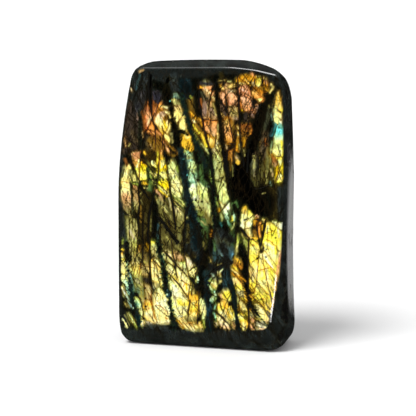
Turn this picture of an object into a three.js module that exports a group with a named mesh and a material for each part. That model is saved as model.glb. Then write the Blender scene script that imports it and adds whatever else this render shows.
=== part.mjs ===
// A free-standing slab of labradorite, sawn from the rough, ground face by face to a
// freeform outline and polished all over. It is one piece of stone, so it is one solid.
// Millimetres: x to the right, y to the back, z up. The stone stands on its ground base,
// and the origin is on the table under the middle of its outer box.
import * as THREE from 'three';
import { mergeVertices } from 'three/addons/utils/BufferGeometryUtils.js';

// Driving dimensions
const height = 120;
const footDepth = 34;
const frontLean = THREE.MathUtils.degToRad(5.5);

// How far the broad faces swell at the middle, because a flat lap wheel leaves a low dome
const frontDome = 0.8;
const backDome = 2.6;

// Radii of the hand-worked roundings
const outlineRadius = 7.8;
const backRadius = 9;
const baseRadius = 5.5;
const frontRadius = 1.6;

// The surface grid starts as the squares on a box about as large as the stone
const gridHalf = new THREE.Vector3(37, 16, 60);
const gridSquares = { x: 28, y: 14, z: 40 };
const grindingCentre = new THREE.Vector3(0, 0, height / 2);

// Corners of the front outline before rounding, seen from the front, clockwise
const corner = {
  footLeft: [-31.7, 0],
  kneeLeft: [-34.3, 91.8],
  topLeft: [-27.5, 119.9],
  topRight: [30.5, 121.7],
  shoulder: [38.8, 115.4],
  kneeRight: [41.8, 63.2],
  heelRight: [42.6, 2.6],
  footRight: [38.6, 0],
};

// Each side is ground from one corner to the next. It tapers towards the back by some
// degrees, and its crown in millimetres is low: a negative crown is a slight waist.
const sides = [
  { from: corner.footLeft, to: corner.kneeLeft, taper: 4, crown: 0 },
  { from: corner.kneeLeft, to: corner.topLeft, taper: 4, crown: 0 },
  { from: corner.topLeft, to: corner.topRight, taper: 9, crown: 1.1 },
  { from: corner.topRight, to: corner.shoulder, taper: 8, crown: 0 },
  { from: corner.shoulder, to: corner.kneeRight, taper: 3, crown: 0 },
  { from: corner.kneeRight, to: corner.heelRight, taper: 3, crown: -1.2 },
  { from: corner.heelRight, to: corner.footRight, taper: 6, crown: 0 },
];

// Bevels cut the front face along a line, and turn away from it by an angle in degrees
const bevels = [
  { from: [-20.2, 117.1], to: [18.5, 118.4], turn: 58, radius: 2 },
  { from: [20.2, 118.3], to: [34.3, 115.3], turn: 58, radius: 2 },
  { from: [37.4, 115], to: [39.7, 63.2], turn: 65, radius: 4.5 },
  { from: [39.7, 66], to: [39.3, 30], turn: 62, radius: 4 },
  { from: [39.4, 54], to: [32.9, 12.5], turn: 38, radius: 3 },
  { from: [31, 10], to: [-25.5, 8.6], turn: 24, radius: 3 },
];

const frontNormal = new THREE.Vector3(0, -Math.cos(frontLean), Math.sin(frontLean));
const backNormal = new THREE.Vector3(0, 1, 0);
const frontPoint = new THREE.Vector3(0, -footDepth / 2, 0);
const backPoint = new THREE.Vector3(0, footDepth / 2, 0);

// A place on the front plane, from its x and z
function onFront([x, z]) {
  return new THREE.Vector3(x, frontPoint.y + z * Math.tan(frontLean), z);
}

// The ground plane through two points of the front, turned away from the front normal
function cutPlane(from, to, turn) {
  const start = onFront(from);
  const along = onFront(to).sub(start);
  const length = along.length();
  along.normalize();
  const outward = new THREE.Vector3().crossVectors(frontNormal, along);
  const normal = frontNormal.clone().multiplyScalar(Math.cos(turn));
  normal.addScaledVector(outward, Math.sin(turn)).normalize();
  return { start, along, length, normal };
}

const sidePlanes = sides.map(({ from, to, taper, crown }) => {
  const turn = Math.PI / 2 + THREE.MathUtils.degToRad(taper);
  return { ...cutPlane(from, to, turn), crown };
});
const bevelPlanes = bevels.map(({ from, to, turn, radius }) => {
  return { ...cutPlane(from, to, THREE.MathUtils.degToRad(turn)), radius };
});

// Height of a point over a plane: negative inside the stone
function over(point, plane) {
  return point.clone().sub(plane.start).dot(plane.normal);
}

function overSide(point, side) {
  const place = point.clone().sub(side.start).dot(side.along) / side.length;
  const reach = THREE.MathUtils.clamp(place * 2 - 1, -1.3, 1.3);
  return over(point, side) + side.crown * (reach * reach - 1);
}

// The broad faces fall away from their middle by the dome, more along the height
function domed(point, start, normal, dome, sharePerWidth) {
  const across = (point.x / gridHalf.x) ** 2;
  const upward = ((point.z - height / 2) / (height / 2)) ** 2;
  const fall = dome * (across * sharePerWidth + upward * (1 - sharePerWidth));
  return point.clone().sub(start).dot(normal) + fall;
}

// Joins faces as a grinder leaves them: each edge between them rounded to the radius
function rounded(faces, radius) {
  const reached = faces.map((value) => Math.max(0, 1 + value / radius));
  return radius * (Math.hypot(...reached) - 1);
}

function sidesField(point) {
  return rounded(sidePlanes.map((side) => overSide(point, side)), outlineRadius);
}

// The outline that the sides and the base make, without the broad faces
function outlineField(point) {
  return rounded([sidesField(point), -point.z], baseRadius);
}

function stoneField(point) {
  const back = domed(point, backPoint, backNormal, backDome, 0.5);
  const front = domed(point, frontPoint, frontNormal, frontDome, 0.4);
  let field = rounded([sidesField(point), back], backRadius);
  field = rounded([field, -point.z], baseRadius);
  for (const bevel of bevelPlanes) {
    field = rounded([field, over(point, bevel)], bevel.radius);
  }
  return rounded([field, front], frontRadius);
}

// Goes out from a start by shares of a reach, to where the field turns positive
function goOut(start, reach, field) {
  let inside = 0;
  let outside = 2;
  const point = new THREE.Vector3();
  for (let step = 0; step < 40; step += 1) {
    const middle = (inside + outside) / 2;
    point.copy(start).addScaledVector(reach, middle);
    if (field(point) < 0) {
      inside = middle;
    } else {
      outside = middle;
    }
  }
  return point.copy(start).addScaledVector(reach, inside);
}

// Where the outline meets the front plane or the back plane, going out from its middle
function frontEdge(x, z) {
  const middle = onFront([0, grindingCentre.z]);
  const reach = onFront([x, grindingCentre.z + z]).sub(middle);
  return goOut(middle, reach, outlineField);
}

function backEdge(x, z) {
  const middle = backPoint.clone().setZ(grindingCentre.z);
  return goOut(middle, new THREE.Vector3(x, 0, z), outlineField);
}

// Brings the grid lines closer towards the edges, where the stone is rounded
function crowd(share) {
  return Math.sign(share) * (1 - (1 - Math.abs(share)) ** 2);
}

// The place that a grid corner aims at: rings inside the front and back edges, and rows
// from the front edge to the back edge
function aim(share) {
  const u = crowd(share.x);
  const v = crowd(share.y);
  const w = crowd(share.z);
  const ring = Math.max(Math.abs(u), Math.abs(w), 1e-9);
  const x = (u / ring) * gridHalf.x;
  const z = (w / ring) * gridHalf.z;
  const front = onFront([0, grindingCentre.z]).lerp(frontEdge(x, z), ring);
  const back = backPoint.clone().setZ(grindingCentre.z).lerp(backEdge(x, z), ring);
  return front.lerp(back, (v + 1) / 2);
}

function groundStone() {
  const box = new THREE.BoxGeometry(2, 2, 2, gridSquares.x, gridSquares.y, gridSquares.z);
  box.deleteAttribute('normal');
  box.deleteAttribute('uv');
  const geometry = mergeVertices(box);
  const places = geometry.getAttribute('position');
  const share = new THREE.Vector3();
  for (let index = 0; index < places.count; index += 1) {
    share.fromBufferAttribute(places, index);
    const reach = aim(share).sub(grindingCentre);
    const point = goOut(grindingCentre, reach, stoneField);
    const level = point.z < 1e-6 ? 0 : point.z;
    places.setXYZ(index, point.x, point.y, level);
  }
  geometry.computeBoundingBox();
  const middle = geometry.boundingBox.getCenter(new THREE.Vector3());
  geometry.translate(-middle.x, -middle.y, 0);
  geometry.computeVertexNormals();
  return geometry;
}

const polishedLabradorite = new THREE.MeshStandardMaterial({
  color: 0x3a4039,
  roughness: 0.12,
  metalness: 0,
});

const stone = new THREE.Mesh(groundStone(), polishedLabradorite);
stone.name = 'stone';

const labradorite = new THREE.Group();
labradorite.add(stone);

export default labradorite;
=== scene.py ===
# %% [markdown]
# The object is one upright slab of labradorite, a feldspar. It was sawn from the rough,
# ground face by face to a freeform outline, and polished all over. Inside it are thin twin
# plates, and where light meets them at the right angle whole panes of the stone flash gold,
# lime, teal or peach, between plates that stay nearly black. This first cell loads the
# imported solid as a fixed frame, and keeps its box, which gives the height and the middle of the finished
# model.

# %% Load the frame
import math

import bpy
import numpy as np
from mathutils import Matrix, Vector


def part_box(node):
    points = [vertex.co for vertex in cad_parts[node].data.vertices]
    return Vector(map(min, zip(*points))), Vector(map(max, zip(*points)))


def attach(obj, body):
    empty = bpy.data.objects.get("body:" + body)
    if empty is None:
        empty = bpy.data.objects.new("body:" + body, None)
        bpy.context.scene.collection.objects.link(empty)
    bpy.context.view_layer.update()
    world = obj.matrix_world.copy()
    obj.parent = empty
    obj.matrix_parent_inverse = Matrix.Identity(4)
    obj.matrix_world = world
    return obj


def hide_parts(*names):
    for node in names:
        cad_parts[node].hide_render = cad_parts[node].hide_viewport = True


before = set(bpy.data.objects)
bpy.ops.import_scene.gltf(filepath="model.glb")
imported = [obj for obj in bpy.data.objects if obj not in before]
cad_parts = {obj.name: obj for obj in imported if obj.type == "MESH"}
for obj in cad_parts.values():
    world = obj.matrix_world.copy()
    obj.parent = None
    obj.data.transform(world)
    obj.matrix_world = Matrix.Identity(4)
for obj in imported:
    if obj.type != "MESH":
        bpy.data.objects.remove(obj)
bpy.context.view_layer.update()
stone_low, stone_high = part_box("stone")
MM = 0.001
height = (stone_high.z - stone_low.z) / MM
print("the stone is", round(height, 1), "mm high")

# %% [markdown]
# Blender wants colours in linear light, but people read them as sRGB hex values. One
# function takes the hex value apart, one turns it to linear, one makes what a socket takes,
# and one adds a node with its settings and links. All materials below are made with them.


# %% Colours and nodes
def srgb_parts(hex_colour):
    """Red, green and blue, from 0 to 1, of a hex colour such as "#FFF3A0"."""
    return np.array([int(hex_colour[at : at + 2], 16) / 255 for at in (1, 3, 5)])


def to_linear(srgb):
    """Linear light for sRGB values from 0 to 1."""
    srgb = np.clip(srgb, 0, 1)
    return np.where(srgb < 0.04045, srgb / 12.92, ((srgb + 0.055) / 1.055) ** 2.4)


def solid_colour(hex_colour):
    """The four values that a colour socket takes."""
    return (*to_linear(srgb_parts(hex_colour)), 1)


def add_node(tree, kind, inputs=None, **settings):
    """Adds a node, sets it up, and fills each input with a value or a link."""
    made = tree.nodes.new(kind)
    for name, value in settings.items():
        setattr(made, name, value)
    for name, value in (inputs or {}).items():
        if isinstance(value, bpy.types.NodeSocket):
            tree.links.new(value, made.inputs[name])
        else:
            made.inputs[name].default_value = value
    return made


# %% [markdown]
# A grinder works a freeform one flat face at a time: front, back, seven sides, base and
# six bevels, and then rounds each edge between them by hand. The shape below is built the
# same way. Each face is a plane, its distance is negative inside the stone, and a soft
# maximum joins the faces with the radius that the wheel left. Modelling the corners by
# hand or sculpting would give the same look, but not such even, flat, polished faces.
# The corners and radii repeat those of the solid. Several were fitted to the outline in
# the photograph and rounded, and the others were moved one by one from there.

# %% The ground faces
front_lean = math.radians(5.5)
foot_depth = 34
front_dome, back_dome = 0.8, 2.6
# How much of each dome's fall goes with the width. The rest goes with the height.
front_width_share, back_width_share = 0.4, 0.5
outline_radius, back_radius, base_radius, front_radius = 7.8, 9, 5.5, 1.6
half_width = 37
crown_limit = 1.3
halvings = 32
farthest_share = 2.0

front_normal = np.array([0, -math.cos(front_lean), math.sin(front_lean)])
front_point = np.array([0, -foot_depth / 2, 0])
back_point = np.array([0, foot_depth / 2, 0])
inside_point = np.array([0, 0, height / 2])

corner = {
    "foot left": (-31.7, 0),
    "knee left": (-34.3, 91.8),
    "top left": (-27.5, 119.9),
    "top right": (30.5, 121.7),
    "shoulder": (38.8, 115.4),
    "knee right": (41.8, 63.2),
    "heel right": (42.6, 2.6),
    "foot right": (38.6, 0),
}
# From corner, to corner, taper towards the back in degrees, crown in mm
sides = [
    ("foot left", "knee left", 4, 0),
    ("knee left", "top left", 4, 0),
    ("top left", "top right", 9, 1.1),
    ("top right", "shoulder", 8, 0),
    ("shoulder", "knee right", 3, 0),
    ("knee right", "heel right", 3, -1.2),
    ("heel right", "foot right", 6, 0),
]
# Two points of the front face, turn away from it in degrees, edge radius in mm
bevels = {
    "top": ((-20.2, 117.1), (18.5, 118.4), 58, 2),
    "shoulder": ((20.2, 118.3), (34.3, 115.3), 58, 2),
    "right": ((37.4, 115), (39.7, 63.2), 65, 4.5),
    "right waist": ((39.7, 66), (39.3, 30), 62, 4),
    "lower right": ((39.4, 54), (32.9, 12.5), 38, 3),
    "foot": ((31, 10), (-25.5, 8.6), 24, 3),
}


def on_front(x, z):
    """A place on the front plane, from its x and z."""
    return np.array([x, front_point[1] + z * math.tan(front_lean), z])


def cut_plane(start, end, turn):
    """The plane through two places of the front, turned away from it by an angle."""
    start, end = on_front(*start), on_front(*end)
    length = np.linalg.norm(end - start)
    along = (end - start) / length
    outward = np.cross(front_normal, along)
    angle = math.radians(turn)
    normal = front_normal * math.cos(angle) + outward * math.sin(angle)
    return start, along, length, normal


side_planes = [(cut_plane(corner[a], corner[b], 90 + taper), crown) for a, b, taper, crown in sides]
bevel_planes = [(cut_plane(a, b, turn), radius) for a, b, turn, radius in bevels.values()]
print("narrow ground faces:", len(side_planes) + len(bevel_planes))

# %% [markdown]
# The faces are joined one after another, in the order that a grinder would round their
# edges: the sides with the back, then the base, then each bevel, and the front last. A
# search along a line then finds where the stone ends in any direction.


# %% The rounded stone
def rounded(faces, radius):
    """Joins faces and leaves each edge between them with that radius."""
    reached = [np.maximum(0, 1 + face / radius) ** 2 for face in faces]
    return radius * (np.sqrt(sum(reached)) - 1)


def domed(points, start, normal, dome, share_per_width):
    """A broad face, which falls away a little from its middle, as off a lap wheel."""
    across = (points[:, 0] / half_width) ** 2
    upward = ((points[:, 2] - inside_point[2]) / inside_point[2]) ** 2
    fall = dome * (across * share_per_width + upward * (1 - share_per_width))
    return (points - start) @ normal + fall


def sides_field(points):
    faces = []
    for (start, along, length, normal), crown in side_planes:
        place = ((points - start) @ along) / length * 2 - 1
        bulge = crown * (np.clip(place, -crown_limit, crown_limit) ** 2 - 1)
        faces.append((points - start) @ normal + bulge)
    return rounded(faces, outline_radius)


def outline_field(points):
    return rounded([sides_field(points), -points[:, 2]], base_radius)


def stone_field(points):
    back = domed(points, back_point, np.array([0, 1, 0]), back_dome, back_width_share)
    front = domed(points, front_point, front_normal, front_dome, front_width_share)
    field = rounded([sides_field(points), back], back_radius)
    field = rounded([field, -points[:, 2]], base_radius)
    for (start, along, length, normal), radius in bevel_planes:
        field = rounded([field, (points - start) @ normal], radius)
    return rounded([field, front], front_radius)


def go_out(start, reach, field):
    """Goes out from a start by shares of a reach, to where the field turns positive."""
    inside = np.zeros(len(reach))
    outside = np.full(len(reach), farthest_share)
    for _ in range(halvings):
        middle = (inside + outside) / 2
        is_in = field(start + reach * middle[:, None]) < 0
        inside = np.where(is_in, middle, inside)
        outside = np.where(is_in, outside, middle)
    return start + reach * inside[:, None]


top_point = go_out(inside_point, np.array([[0.0, 0.0, height]]), stone_field)
print("height over the middle in mm:", round(top_point[0, 2], 1))

# %% [markdown]
# The mesh has to be fine where the flash shows, because the colours are stored on its
# points. The front face gets a grid of squares about a third of a millimetre wide. The
# sides and the back are half as fine. Rings of the grid follow the front and back edges,
# so that an edge is a clean row of points. One row of triangles joins fine to coarse.

# %% The grid of points
fine_columns, fine_rows = 208, 340
side_steps = 18
side_crowding = 1.5
tiny_share = 1e-9
table_level_mm = 1e-5
middle_front = on_front(0, inside_point[2])
middle_back = back_point + np.array([0, 0, inside_point[2]])


def edge_reach(u, w):
    """Where the outline meets the front and the back plane, in a direction of the grid."""
    across, up = u * half_width, w * inside_point[2]
    tilted = np.stack([across, up * math.tan(front_lean), up], -1)
    level = np.stack([across, np.zeros_like(across), up], -1)
    front = go_out(middle_front, tilted, outline_field)
    back = go_out(middle_back, level, outline_field)
    return front, back


def face_grid(columns, rows, middle, which):
    """The aims of a grid over the front (which 0) or the back (which 1)."""
    u, w = np.meshgrid(np.linspace(-1, 1, columns + 1), np.linspace(-1, 1, rows + 1))
    u, w = u.ravel(), w.ravel()
    ring = np.maximum(np.maximum(abs(u), abs(w)), tiny_share)
    edge = edge_reach(u / ring, w / ring)[which]
    return middle + (edge - middle) * ring[:, None]


def rim(columns, rows):
    """The indices of a grid's outer points, once round, without a gap."""
    width = columns + 1
    bottom = list(range(columns))
    right = [row * width + columns for row in range(rows)]
    top = [rows * width + at for at in range(columns, 0, -1)]
    left = [row * width for row in range(rows, 0, -1)]
    return np.array(bottom + right + top + left)


def squares(columns, rows, first, flipped):
    """The faces of a grid whose points start at an index."""
    width = columns + 1
    at = np.arange(rows)[:, None] * width + np.arange(columns)[None, :] + first
    at = at.ravel()
    faces = np.stack([at, at + 1, at + width + 1, at + width], -1)
    return faces[:, ::-1] if flipped else faces


coarse_columns, coarse_rows = fine_columns // 2, fine_rows // 2
front_aims = face_grid(fine_columns, fine_rows, middle_front, 0)
back_aims = face_grid(coarse_columns, coarse_rows, middle_back, 1)
front_rim = rim(fine_columns, fine_rows)
back_rim = rim(coarse_columns, coarse_rows)
side_shares = np.linspace(0, 1, side_steps + 1)[1:-1] ** side_crowding
side_aims = [
    front_aims[front_rim[::2]] * (1 - share) + back_aims[back_rim] * share
    for share in side_shares
]
aims = np.concatenate([front_aims, *side_aims, back_aims])
points = go_out(inside_point, aims - inside_point, stone_field)
points[:, 2] = np.where(points[:, 2] < table_level_mm, 0, points[:, 2])
print("points on the stone:", len(points))

# %% [markdown]
# The faces follow from the order of the points: squares on the front and the back, a band
# of squares round the sides, and the joining row, where two fine edges meet one coarse
# edge. The normals come from the formula itself, so the polish looks even everywhere.

# %% The mesh of the stone
first_side = len(front_aims)
first_back = len(aims) - len(back_aims)
around = len(back_rim)
rings = [first_side + step * around + np.arange(around) for step in range(side_steps - 1)]
rings.append(first_back + back_rim)
faces = squares(fine_columns, fine_rows, 0, False).tolist()
faces += squares(coarse_columns, coarse_rows, first_back, True).tolist()
for at in range(around):
    after = (at + 1) % around
    f0, f1, f2 = front_rim[2 * at], front_rim[2 * at + 1], front_rim[2 * after]
    c0, c1 = rings[0][at], rings[0][after]
    faces += [(f1, f0, c0), (f1, c0, c1), (f2, f1, c1)]
    for ring, following in zip(rings, rings[1:]):
        faces.append((ring[at], following[at], following[after], ring[after]))

shift = np.array([(points[:, axis].max() + points[:, axis].min()) / 2 for axis in (0, 1)] + [0])
box_middle = np.array([(stone_low[axis] + stone_high[axis]) / 2 / MM for axis in (0, 1)] + [0])
to_frame = box_middle - shift
slab_mesh = bpy.data.meshes.new("labradorite_slab")
slab_mesh.from_pydata(((points + to_frame) * MM).tolist(), [], faces)
slab_mesh.shade_smooth()
slab = bpy.data.objects.new("labradorite_slab", slab_mesh)
bpy.context.scene.collection.objects.link(slab)


def outward(places, step=0.02):
    """The direction in which the field grows, which is the surface normal."""
    slope = []
    for axis in np.eye(3):
        slope.append(stone_field(places + axis * step) - stone_field(places - axis * step))
    slope = np.stack(slope, -1)
    return slope / np.linalg.norm(slope, axis=1, keepdims=True)


normals = outward(points)
normals[points[:, 2] == 0] = (0, 0, -1)
slab_mesh.normals_split_custom_set_from_vertices(normals.tolist())
triangles = sum(len(face) - 2 for face in faces)
print("triangles:", triangles, "slab offset in mm:", np.round(to_frame, 3))

# %% [markdown]
# The camera stands about where the photographer must have stood: 16 degrees to the right
# and a little above, with a long lens. The distance of 0.8 m is assumed. The focal length
# and the aim were fitted, so that the stone's outline falls on the photograph's. The
# picture is 416 pixels square. The same numbers say on which pixel of the photograph a
# point of the stone lies, so that a marking can be placed where it is seen.

# %% The camera
picture_size = 416
focal_pixels = 1924
sensor_mm = 36
camera_azimuth = math.radians(16)
camera_distance, camera_height = 800, 195
camera_place = np.array(
    [
        camera_distance * math.sin(camera_azimuth),
        -camera_distance * math.cos(camera_azimuth),
        camera_height,
    ]
)
camera_target = np.array([3.25, 0, 57.53])

camera_data = bpy.data.cameras.new("camera")
camera_data.lens = sensor_mm * focal_pixels / picture_size
camera_data.sensor_width = sensor_mm
camera_data.clip_end = 20
camera = bpy.data.objects.new("camera", camera_data)
bpy.context.scene.collection.objects.link(camera)
camera.location = Vector((camera_place + to_frame) * MM)
view = Vector(camera_target - camera_place)
camera.rotation_euler = view.to_track_quat("-Z", "Y").to_euler()
bpy.context.scene.camera = camera

forward = (camera_target - camera_place) / np.linalg.norm(camera_target - camera_place)
rightward = np.cross(forward, [0, 0, 1])
rightward /= np.linalg.norm(rightward)
upward = np.cross(rightward, forward)


def photo_pixels(places):
    """The photograph's pixel, x to the right and y down, for points of the stone."""
    offset = places - camera_place
    depth = offset @ forward
    across = picture_size / 2 + focal_pixels * (offset @ rightward) / depth
    down = picture_size / 2 - focal_pixels * (offset @ upward) / depth
    return across, down


pixel_x, pixel_y = photo_pixels(points)
print("the stone spans", round(pixel_x.min()), "to", round(pixel_x.max()), "pixels across")

# %% [markdown]
# The flash of labradorite comes in panes: one twin plate turns gold, the next lime or
# peach, and the plates between them stay dark. It could be left to a procedural texture,
# but then no pane would be where this stone has it. Here the picture is painted mark by
# mark, on the photograph's pixels: small outlines and brush strokes with named
# colours. Seeded clouds break up their edges and their inside, so they come first.

# %% Seeded clouds
random = np.random.default_rng(31)
lattice_size = 256
cleavage_slope = math.radians(52)
lattice = random.uniform(-1, 1, (lattice_size, lattice_size))


def cloud(u, v):
    """Smooth random values from -1 to 1 that change over about one unit of u and v."""
    i, j = np.floor(u).astype(int), np.floor(v).astype(int)
    a, b = u - i, v - j
    a, b = a * a * (3 - 2 * a), b * b * (3 - 2 * b)
    i0, i1, j0, j1 = (value % lattice_size for value in (i, i + 1, j, j + 1))
    low = lattice[i0, j0] * (1 - a) + lattice[i1, j0] * a
    high = lattice[i0, j1] * (1 - a) + lattice[i1, j1] * a
    return low * (1 - b) + high * b


def smooth(value):
    """Rises softly from 0 to 1 as the value goes from -1 to 1."""
    share = np.clip(value / 2 + 0.5, 0, 1)
    return share * share * (3 - 2 * share)


def layered(u, v, *layers):
    """Adds clouds of (share, size along u, size along v, start along u, start along v)."""
    return sum(share * cloud(u / wide + left, v / tall + low) for share, wide, tall, left, low in layers)


def share_past(past, width):
    """0 up to a limit, and 1 from a width past it, for how far values are past it."""
    return np.clip(past / width, 0, 1)


# Sizes are in pixels, and each start takes another part of the lattice
cleavage_across = pixel_x * math.sin(cleavage_slope) - pixel_y * math.cos(cleavage_slope)
cleavage_along = pixel_x * math.cos(cleavage_slope) + pixel_y * math.sin(cleavage_slope)
falling, climbing = pixel_x + pixel_y, pixel_x - pixel_y
flecks = layered(pixel_x, pixel_y, (0.6, 2.7, 3.1, 0, 0), (0.4, 1.3, 1.4, 90, 0))
grain = 0.45 * flecks + layered(pixel_x, pixel_y, (0.3, 1.5, 15, 0, 40))
grain += layered(cleavage_across, cleavage_along, (0.45, 0.95, 13, 0, 70))
streaks = layered(pixel_x, pixel_y, (0.5, 1.7, 17, 3, 0), (0.5, 1.1, 8, 31, 0))
streaks += layered(cleavage_across, cleavage_along, (0.4, 1.4, 16, 13, 0))
fern = layered(falling, climbing, (0.6, 1.6, 5.5, 0, 20))
fern += layered(climbing, falling, (0.6, 1.6, 5.5, 60, 0))
fern += layered(pixel_x, pixel_y, (0.35, 1.1, 1.1, 5, 0))
soft_x = pixel_x + layered(pixel_x, pixel_y, (0.3, 3.5, 4, 11, 0), (0.2, 1.6, 1.8, 0, 7))
soft_y = pixel_y + layered(pixel_x, pixel_y, (0.3, 4, 3.5, 33, 0), (0.25, 1.8, 1.6, 0, 57))
print("grain from", round(grain.min(), 2), "to", round(grain.max(), 2))

# %% [markdown]
# The colours are named as a painter would. A pane's look is one name, or several joined
# by > from its top to its foot. The flash colours run from teal over green, lime and gold
# to peach, in the order that thicker and thicker twin plates give them.

# %% The palette
palette = {
    "white": "#FFFFCC",
    "cream": "#FFF8A6",
    "straw": "#F6DA78",
    "lemon": "#FFF28C",
    "yellow": "#FBE840",
    "saffron": "#FFD60C",
    "gold": "#E2B02C",
    "honey": "#B88418",
    "amber": "#9C6416",
    "orange": "#DE9440",
    "apricot": "#F0B070",
    "peach": "#E4AC78",
    "salmon": "#F0C4A0",
    "clay": "#B4764C",
    "rust": "#A85826",
    "plum": "#2C2B33",
    "copper": "#8A5220",
    "tan": "#B0905A",
    "beige": "#B8A97C",
    "khaki": "#A69C58",
    "pear": "#B4B66C",
    "lime": "#DDE588",
    "mint": "#CDEBB4",
    "leaf": "#8E9A3A",
    "olive": "#6A6430",
    "moss": "#4C4620",
    "umber": "#2F280E",
    "bronze": "#7C5C1C",
    "brown": "#3E300C",
    "bark": "#342C24",
    "smoke": "#4A3F2C",
    "dark smoke": "#2B2620",
    "mauve": "#8A7260",
    "plum slate": "#2A2A2B",
    "lichen": "#5C7464",
    "sage": "#3A3D2A",
    "green": "#4C6A34",
    "pine": "#2C4424",
    "sea": "#6E9A74",
    "mist": "#56705E",
    "cyan": "#74DCD0",
    "teal": "#2C7A7C",
    "deep teal": "#1D4C46",
    "tarn": "#2B4444",
    "dusk": "#1E3436",
    "navy": "#0E1C1E",
    "abyss": "#10211F",
    "slate": "#272D2B",
    "body": "#1D211E",
    "pitch": "#0E120A",
    "black": "#060604",
}
paint = {name: srgb_parts(hex_colour) for name, hex_colour in palette.items()}
print("colours in the palette:", len(paint))

# %% [markdown]
# The canvas holds one colour for each point of the mesh, and a mark is laid over it where a
# point is inside. A mark is a row of places on the photograph. With a half width it is a
# brush stroke through them, and without one they are the corners of an outline. An edge
# number says how soft it is, and the clouds shift it by up to half a pixel. The grain tints
# it: pale where the plates lie open, more golden along their edges.

# %% The canvas
canvas = np.tile(paint["pitch"], (len(points), 1))
front_zone_mm = 14
front_face_depth = (points - front_point) @ front_normal
is_front = front_face_depth > -front_zone_mm
golden_shift = np.array([0.55, 0.75, 1.35])
ragged_share = 0.1
mark_grain, grain_middle = 0.3, 0.05
mark_sharpness = 0.65
fringe = 0.45
crisp_edge, soft_edge, soft_widening = 0.85, 1.4, 0.45
halo_reach, halo_cover, halo_streaks, halo_fringe = 2.2, 0.85, 0.5, 0.8
halo_contrast, halo_shift = 0.06, 0.6


def blended(places, stops, colours):
    """The colours at some places, between those that the stops have."""
    return np.stack([np.interp(places, stops, channel) for channel in np.transpose(colours)], -1)


# A halo is golden above, greener in the middle and brighter below
halo_rows = (140, 165, 240, 265)
halo_tints = [(0.6, 0.5, 0.34), (0.5, 0.52, 0.34), (0.5, 0.52, 0.34), (0.78, 0.74, 0.5)]
halo_tint = blended(pixel_y, halo_rows, halo_tints)
print("points of the front:", is_front.sum())

# %% [markdown]
# Whether a mark covers a point follows from distances. For a stroke it is the distance to
# the nearest piece of its line, less the half width, and for an outline the distance to
# its border, which counts as negative outside. Only points near a mark are looked at.


# %% Distances to marks
def to_segment(x, y, start, end):
    """For each place its nearest point's share along a segment, and how far away that is."""
    across, down = end[0] - start[0], end[1] - start[1]
    right, below = x - start[0], y - start[1]
    share = np.clip((right * across + below * down) / (across**2 + down**2), 0, 1)
    return share, np.hypot(right - share * across, below - share * down)


def depth_inside(x, y, corners):
    """How far, in pixels, places are inside an outline. Outside it is negative."""
    nearest = np.full(len(x), np.inf)
    inside = np.zeros(len(x), bool)
    for start, end in zip(corners, corners[1:] + corners[:1]):
        nearest = np.minimum(nearest, to_segment(x, y, start, end)[1])
        down = end[1] - start[1]
        crosses = (start[1] > y) != (end[1] > y)
        side = (x - start[0]) * down - (y - start[1]) * (end[0] - start[0])
        inside ^= crosses & ((side < 0) == (down > 0))
    return np.where(inside, nearest, -nearest)


def line_reach(x, y, stations):
    """Pixels from places to a line of (x, y, half width), less the half width there."""
    reach = np.full(len(x), np.inf)
    for start, end in zip(stations, stations[1:]):
        share, distance = to_segment(x, y, start, end)
        reach = np.minimum(reach, distance - (start[2] + share * (end[2] - start[2])))
    return reach


def near(places, margin):
    """The front points whose pixel is close to the box round some places."""
    low_x, low_y = np.min(places, 0) - margin
    high_x, high_y = np.max(places, 0) + margin
    across = (pixel_x > low_x) & (pixel_x < high_x)
    return np.flatnonzero(across & (pixel_y > low_y) & (pixel_y < high_y) & is_front)


# %% [markdown]
# A mark is laid in two steps. A halo, the dim golden glow that a bright pane throws into
# the plates beside it, comes first and only brightens. Then comes the mark itself, with
# its look from top to foot, tinted by the grain.


# %% Laying a mark
def look_at(look, share):
    """The colours of a look such as "cream>tan" at shares from its top to its foot."""
    stops = [paint[name] for name in look.split(">")]
    return blended(share, np.linspace(0, 1, len(stops)), stops)


def mark_place(stations, margin):
    """The points near a mark, how deep they are inside it, and their share from its top."""
    is_stroke = len(stations[0]) == 3
    places = [station[:2] for station in stations]
    widest = max(station[2] for station in stations) if is_stroke else 0
    where = near(places, widest + margin)
    x, y = soft_x[where], soft_y[where]
    depth = -line_reach(x, y, stations) if is_stroke else depth_inside(x, y, stations)
    top, foot = min(y for x, y in places) - widest, max(y for x, y in places) + widest
    share = (pixel_y[where] - top) / (foot - top) + ragged_share * flecks[where]
    return where, depth, np.clip(share, 0, 1)


def lay_mark(look, edge, stations):
    where, depth, share = mark_place(stations, edge + 2)
    tone = 1 + mark_grain * (grain[where, None] - grain_middle) * golden_shift
    colour = np.clip(look_at(look, share) * tone, 0, 1)
    cover = smooth((depth + fringe * fern[where]) / (mark_sharpness * edge))[:, None]
    canvas[where] += (colour - canvas[where]) * cover


def lay_halo(look, stations):
    """The dim golden glow that a bright mark throws into the plates around it."""
    where, depth, share = mark_place(stations, halo_reach + 3)
    tone = 1 + halo_streaks * streaks[where, None] * golden_shift
    colour = np.clip(look_at(look, share) * halo_tint[where] * tone, 0, 1)
    brighter = smooth((colour.mean(1) - canvas[where].mean(1)) / halo_contrast)
    inside = smooth((depth + halo_fringe * fern[where]) / halo_reach + halo_shift)
    cover = halo_cover * brighter * inside
    canvas[where] += (colour - canvas[where]) * cover[:, None]


def stations_of(half, numbers):
    """The corners of an outline, or with a half width the stations of a stroke."""
    pairs = zip(numbers[::2], numbers[1::2])
    return [(x, y, half) if half else (x, y) for x, y in pairs]


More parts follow.
